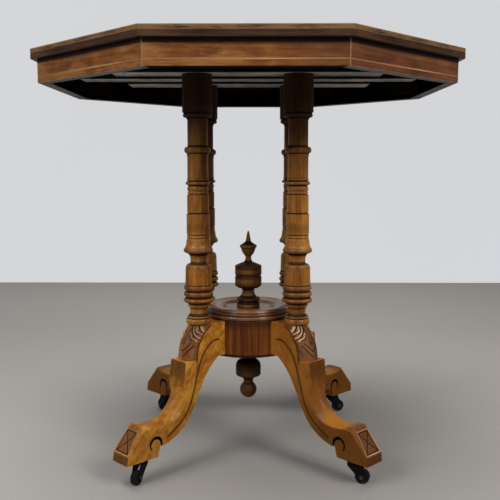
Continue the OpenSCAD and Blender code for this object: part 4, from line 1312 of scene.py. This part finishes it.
@dataclass
class Top:
    """The inlaid octagonal top, its edge strips, apron, bearers and blocks."""

    apron_inner: float = 0.330
    apron_under: float = 0.676
    slab_under: float = 0.714

    def around(self, nodes: Nodes, across_sides: bool = False) -> Value:
        """Place turned so that X runs along whichever of the eight sides is nearest.

        The direction from the middle is rounded to the nearest eighth of a turn.

        Args:
            nodes: the graph to add to.
            across_sides: whether X runs towards the side instead.
        Returns:
            The turned place.
        """
        place = nodes.place()
        x, y, _ = nodes.parts(place)
        eighth = (y.join("ARCTAN2", x) * (4 / math.pi)).change("ROUND")
        turn = eighth * (-math.pi / 4) + (0.0 if across_sides else math.pi / 2)
        return nodes.add(
            "ShaderNodeVectorRotate",
            {"rotation_type": "Z_AXIS"},
            {"Vector": place, "Angle": turn},
        )

    def board(self, side: Side) -> bpy.types.Material:
        """Veneered apron board: level figure, a painted shadow under the slab, black inside and dusty raw
        wood below.
        """
        nodes = Nodes("apron_finish_" + side.label)
        place = nodes.place()
        _, _, height = nodes.parts(place)
        red = side in (Side.FRONT_RIGHT, Side.RIGHT, Side.REAR)
        timber = APRON_RED if red else APRON
        glow_tone = (0.22, 0.080, 0.026) if red else (0.42, 0.200, 0.062)
        along = nodes.turned(place, (0.0, 0.0, -(side.value + 90.0)))
        grain = timber.grain(nodes, along)
        raw = DUSTY.grain(nodes, along)
        # Painted shadow: the apron goes near black just under the slab
        shade = height.step(self.slab_under - 0.0085, self.slab_under - 0.0045)
        glow = nodes.drawn(along, 9.0, 40.0, 3.0, 0.6).step(0.48, 0.7)
        colour = nodes.mix(glow * 0.5, grain.colour, glow_tone)
        raw_tone = raw.colour
        if side is Side.FRONT:
            # Darker to the right, and black below but for its ends
            across, _, _ = nodes.parts(place)
            colour = nodes.mix(across.step(0.0, 0.13) * 0.62, colour, (0.070, 0.018, 0.006))
            middle = (across * across).step(0.0215, 0.0190)
            raw_tone = nodes.mix(middle * 0.93, raw_tone, (0.01, 0.008, 0.007))
        colour = nodes.mix(shade * 0.93, colour, (0.008, 0.004, 0.003))
        _, out, _ = nodes.parts(along)
        inner = out.step(-self.apron_inner - 0.0004, -self.apron_inner - 0.0001)
        colour = nodes.mix(inner, colour, (0.002, 0.002, 0.002))
        under = height.step(self.apron_under + 0.0006, self.apron_under + 0.0001)
        polished = nodes.surface(
            {
                "Base Color": colour,
                "Roughness": (1.0 - grain.streak) * 0.14 + timber.gloss - 0.04,
                **timber.polish(),
                "Coat Roughness": 0.15,
                "Normal": nodes.bump(grain.height, 0.0002),
            }
        )
        rough = nodes.surface(
            {"Base Color": nodes.mix(under, colour, raw_tone), "Roughness": 0.9, "Specular IOR Level": 0.0}
        )
        return nodes.close(
            nodes.add("ShaderNodeMixShader", inputs={0: under.larger(inner), 1: polished, 2: rough})
        )

    def strip(self, name: str, worn: Colour, tone: Timber, share: float) -> bpy.types.Material:
        """Edge strip: dark stain, worn through in patches; its top arris is paler wood with a painted
        highlight.

        Args:
            name: the material's name.
            worn: colour of the bare patches.
            tone: the stained wood.
            share: noise level above which the stain is gone.
        Returns:
            The material.
        """
        nodes = Nodes(name)
        along = self.around(nodes)
        grain = tone.grain(nodes, along)
        patch = nodes.drawn(along, 30.0, 160.0, 5.0, 0.7)
        bare = (patch + grain.streak * 0.3 - 0.15).step(share - 0.1, share + 0.2)
        _, _, height = nodes.parts(nodes.place())
        # The top arris: partly paler wood, partly a painted highlight
        pale_and_highlit_arris = height.step(0.7302, 0.7318)
        colour = nodes.mix(bare, grain.colour, worn)
        colour = nodes.mix(pale_and_highlit_arris * 0.55, colour, (0.30, 0.165, 0.075))
        return nodes.finish(
            {
                "Base Color": colour,
                "Roughness": bare * 0.2 + (1.0 - grain.streak) * 0.15 + 0.3,
                "Coat Weight": 0.02,
                "Specular IOR Level": 0.16,
                "Normal": nodes.bump(grain.height + bare * 0.5, 0.0003),
            }
        )

    def veneer(self, name: str, timber: Timber, outward: bool) -> bpy.types.Material:
        """Polished veneer laid in eighths.

        Args:
            name: the material's name.
            timber: the wood.
            outward: whether the grain runs from the middle out.
        Returns:
            The material.
        """
        nodes = Nodes(name)
        grain = timber.grain(nodes, self.around(nodes, outward))
        scuff = nodes.noise(nodes.place(), 14.0, 5.0, 0.65)
        return nodes.finish(
            {
                "Base Color": grain.colour,
                "Roughness": scuff * 0.18 + (1.0 - grain.streak) * 0.08 + timber.gloss - 0.12,
                "Coat Weight": 0.5,
                "Coat Roughness": 0.12,
                "Normal": nodes.bump(grain.height, 0.00012),
            }
        )

    def plain(
        self, name: str, timber: Timber, turn: float, edge: float = 0.0, under: float = 0.0
    ) -> bpy.types.Material:
        """Plain sawn wood with level grain.

        Args:
            name: the material's name.
            timber: the wood.
            turn: direction of the grain in degrees, seen from above.
            edge: how far towards black the wood is coloured, 0 to 1.
            under: height of an underside that stays pale while the sides are coloured black.
        Returns:
            The material.
        """
        nodes = Nodes(name)
        grain = timber.grain(nodes, nodes.turned(nodes.place(), (0.0, 0.0, -turn)))
        dust = nodes.noise(nodes.place(), 22.0, 4.0, 0.6).step(0.45, 0.75) * 0.4
        colour = nodes.mix(dust, grain.colour, (0.16, 0.15, 0.14))
        _, _, height = nodes.parts(nodes.place())
        # Near black on the sides above the underside, or by the edge share elsewhere
        black_share = height.step(under + 0.1 * MM, under + 0.4 * MM) * 0.97 if under else edge
        return nodes.finish(
            {
                "Base Color": nodes.mix(black_share, colour, NEAR_BLACK),
                "Roughness": (1.0 - grain.streak) * 0.2 + timber.gloss,
                "Specular IOR Level": 0.0,
                "Normal": nodes.bump(grain.height, 0.0006),
            }
        )

    def build(self) -> None:
        """Paints every piece of the top."""
        for side in Side:
            paint("apron_" + side.label, self.board(side))
        paint("edge_lipping", self.strip("edge_lipping_finish", (0.165, 0.092, 0.042), BAND, 0.36))
        paint("edge_moulding", self.strip("edge_moulding_finish", (0.085, 0.038, 0.016), BAND, 0.58))
        paint("veneer_field", self.veneer("field_finish", FIELD, True))
        paint("veneer_crossband", self.veneer("crossband_finish", BAND, True))
        line = self.veneer("boxwood_finish", BOX, False)
        for node in ("veneer_line", "apron_stringing", "corner_stringing"):
            paint(node, line)
        paint("top_core", self.plain("core_finish", PINE, 0.0, 0.96))
        bearer = self.plain("bearer_finish", RAW, 0.0, under=0.697)
        for node in ("bearer_front", "bearer_middle", "bearer_rear"):
            paint(node, bearer)
        paint("corner_blocks", self.plain("block_finish", PINE, 0.0, 0.96))
        steel = STEEL.dress("screw_finish")
        for node in ("block_screws", "bearer_screws"):
            paint(node, steel)
        paint("leg_dowels", self.plain("dowel_finish", PINE, 45.0))


@dataclass
class Castors:
    """Forks and wheels with eased edges, and the metal of the rest of each castor."""

    ease: float = 0.0009

    def eased_copy(self, node: str, material: bpy.types.Material) -> bpy.types.Object:
        """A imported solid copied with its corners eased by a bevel.

        Args:
            node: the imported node.
            material: its finish.
        Returns:
            The copy, with the bevel applied.
        """
        piece = add_object(node + "_eased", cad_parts[node].data.copy())
        weld = piece.modifiers.new("weld", "WELD")
        weld.merge_threshold = 1e-5
        bevel = piece.modifiers.new("bevel", "BEVEL")
        bevel.width, bevel.segments, bevel.limit_method = self.ease, 3, "ANGLE"
        bevel.angle_limit = math.radians(35)
        bevel.use_clamp_overlap = True
        graph = bpy.context.evaluated_depsgraph_get()
        eased = bpy.data.meshes.new_from_object(piece.evaluated_get(graph))
        piece.modifiers.clear()
        piece.data = eased
        smooth(eased, 30.0)
        eased.materials.clear()
        eased.materials.append(material)
        return piece

    def build(self) -> None:
        """Dresses the four castors."""
        iron, wheel = IRON.dress("castor_iron"), WHEEL.dress("castor_wheel_finish")
        steel = DARK_STEEL.dress("castor_steel")
        for corner in Corner:
            fork = self.eased_copy("castor_fork_" + corner.label, iron)
            settle(fork, "swivel_" + corner.label, "black_iron", "castor_fork_" + corner.label)
            roller = self.eased_copy("castor_wheel_" + corner.label, wheel)
            settle(roller, "wheel_" + corner.label, "wheel_hard", "castor_wheel_" + corner.label)
            paint("castor_plate_" + corner.label, iron)
            paint("castor_axle_" + corner.label, steel)
        paint("castor_screws", steel)


@dataclass
class Studio:
    """Camera, lamps and a plain floor and wall."""

    eye: tuple[float, float, float] = (0.01224, -1.3814, 0.5351)
    dip: float = 0.1122
    yaw: float = 0.0065
    lens: float = 52.42
    wall: float = 2.0
    floor_tone: Colour = (0.292, 0.277, 0.262)
    wall_tone: Colour = (0.69, 0.70, 0.72)

    def camera(self) -> None:
        """A camera at the photograph's viewpoint."""
        data = bpy.data.cameras.new("camera")
        data.lens, data.sensor_width = self.lens, 36.0
        camera = add_object("camera", data)
        camera.location = self.eye
        camera.rotation_euler = (math.pi / 2 - self.dip, 0.0, self.yaw)
        bpy.context.scene.camera = camera

    def backdrop(self) -> None:
        """A pale floor, and a paler wall that glows for the camera and faintly in gloss."""
        wide = 7.0
        near_left, near_right = (-wide, -wide, 0.0), (wide, -wide, 0.0)
        far_left, far_right = (-wide, self.wall, 0.0), (wide, self.wall, 0.0)
        top_left, top_right = (-wide, self.wall, 4.0), (wide, self.wall, 4.0)
        floor = make_piece("floor", np.array([near_left, near_right, far_right, far_left]), [[0, 1, 2, 3]])
        wall = make_piece("wall", np.array([far_left, far_right, top_right, top_left]), [[0, 1, 2, 3]])
        nodes = Nodes("floor_paint")
        tone = nodes.noise(nodes.place(), 3.0, 3.0) * 0.25
        seen = nodes.add("ShaderNodeLightPath", output="Is Camera Ray")
        shade = nodes.mix(tone, self.floor_tone, tinted(self.floor_tone, 0.85))
        # To all rays but the camera's the floor is half as bright, which dims the light it throws up under
        # the table
        shade = nodes.mix(seen, tinted(self.floor_tone, 0.5), shade)
        floor.data.materials.append(nodes.finish({"Base Color": shade, "Roughness": 0.75}))
        nodes = Nodes("wall_paint")
        rays = nodes.add("ShaderNodeLightPath", output="Is Camera Ray")
        gloss = nodes.add("ShaderNodeLightPath", output="Is Glossy Ray")
        tone = nodes.noise(nodes.place(), 0.5, 2.0)
        shade = nodes.mix(tone, self.wall_tone, tinted(self.wall_tone, 0.92))
        glow = nodes.add("ShaderNodeEmission", inputs={"Color": shade, "Strength": 1.0})
        matt = nodes.add("ShaderNodeBsdfDiffuse", inputs={"Color": (0.5, 0.5, 0.5)})
        mixed = nodes.add("ShaderNodeMixShader", inputs={0: rays.larger(gloss * 0.12), 1: matt, 2: glow})
        wall.data.materials.append(nodes.close(mixed))
        floor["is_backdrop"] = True
        wall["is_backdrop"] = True

    def lamp(
        self, name: str, place: tuple[float, float, float], size: float, power: float, colour: Colour
    ) -> None:
        """A square soft lamp that faces the table."""
        data = bpy.data.lights.new(name, "AREA")
        data.size, data.energy, data.color = size, power, colour
        lamp = add_object(name, data)
        lamp.location = place
        lamp.rotation_euler = (Vector((0, 0, 0.35)) - Vector(place)).to_track_quat("-Z", "Y").to_euler()

    def build(self) -> None:
        """Sets up the whole studio."""
        scene = bpy.context.scene
        scene.view_settings.view_transform = "Standard"
        world = bpy.data.worlds.new("world")
        world.use_nodes = True
        world.node_tree.nodes["Background"].inputs["Color"].default_value = (0.80, 0.83, 0.88, 1.0)
        world.node_tree.nodes["Background"].inputs["Strength"].default_value = 0.16
        scene.world = world
        self.camera()
        self.backdrop()
        self.lamp("key", (1.7, -1.8, 2.1), 1.1, 59.0, (1.0, 0.97, 0.93))
        self.lamp("overhead", (-0.3, -0.2, 3.0), 1.8, 80.0, (1.0, 0.99, 0.97))
        self.lamp("fill", (-1.8, -1.8, 1.9), 1.2, 46.0, (0.98, 0.98, 1.0))


def main() -> None:
    """Builds the studio and every part of the table, in order."""
    logging.basicConfig(level=logging.INFO, format="%(message)s")
    Studio().build()
    Top().build()
    Columns().build()
    Hub().build()
    Legs().build()
    Castors().build()
    [[list(map(float, corner)) for corner in box] for box in (CAD_BOX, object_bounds())]


if __name__ == "__main__":
    main()
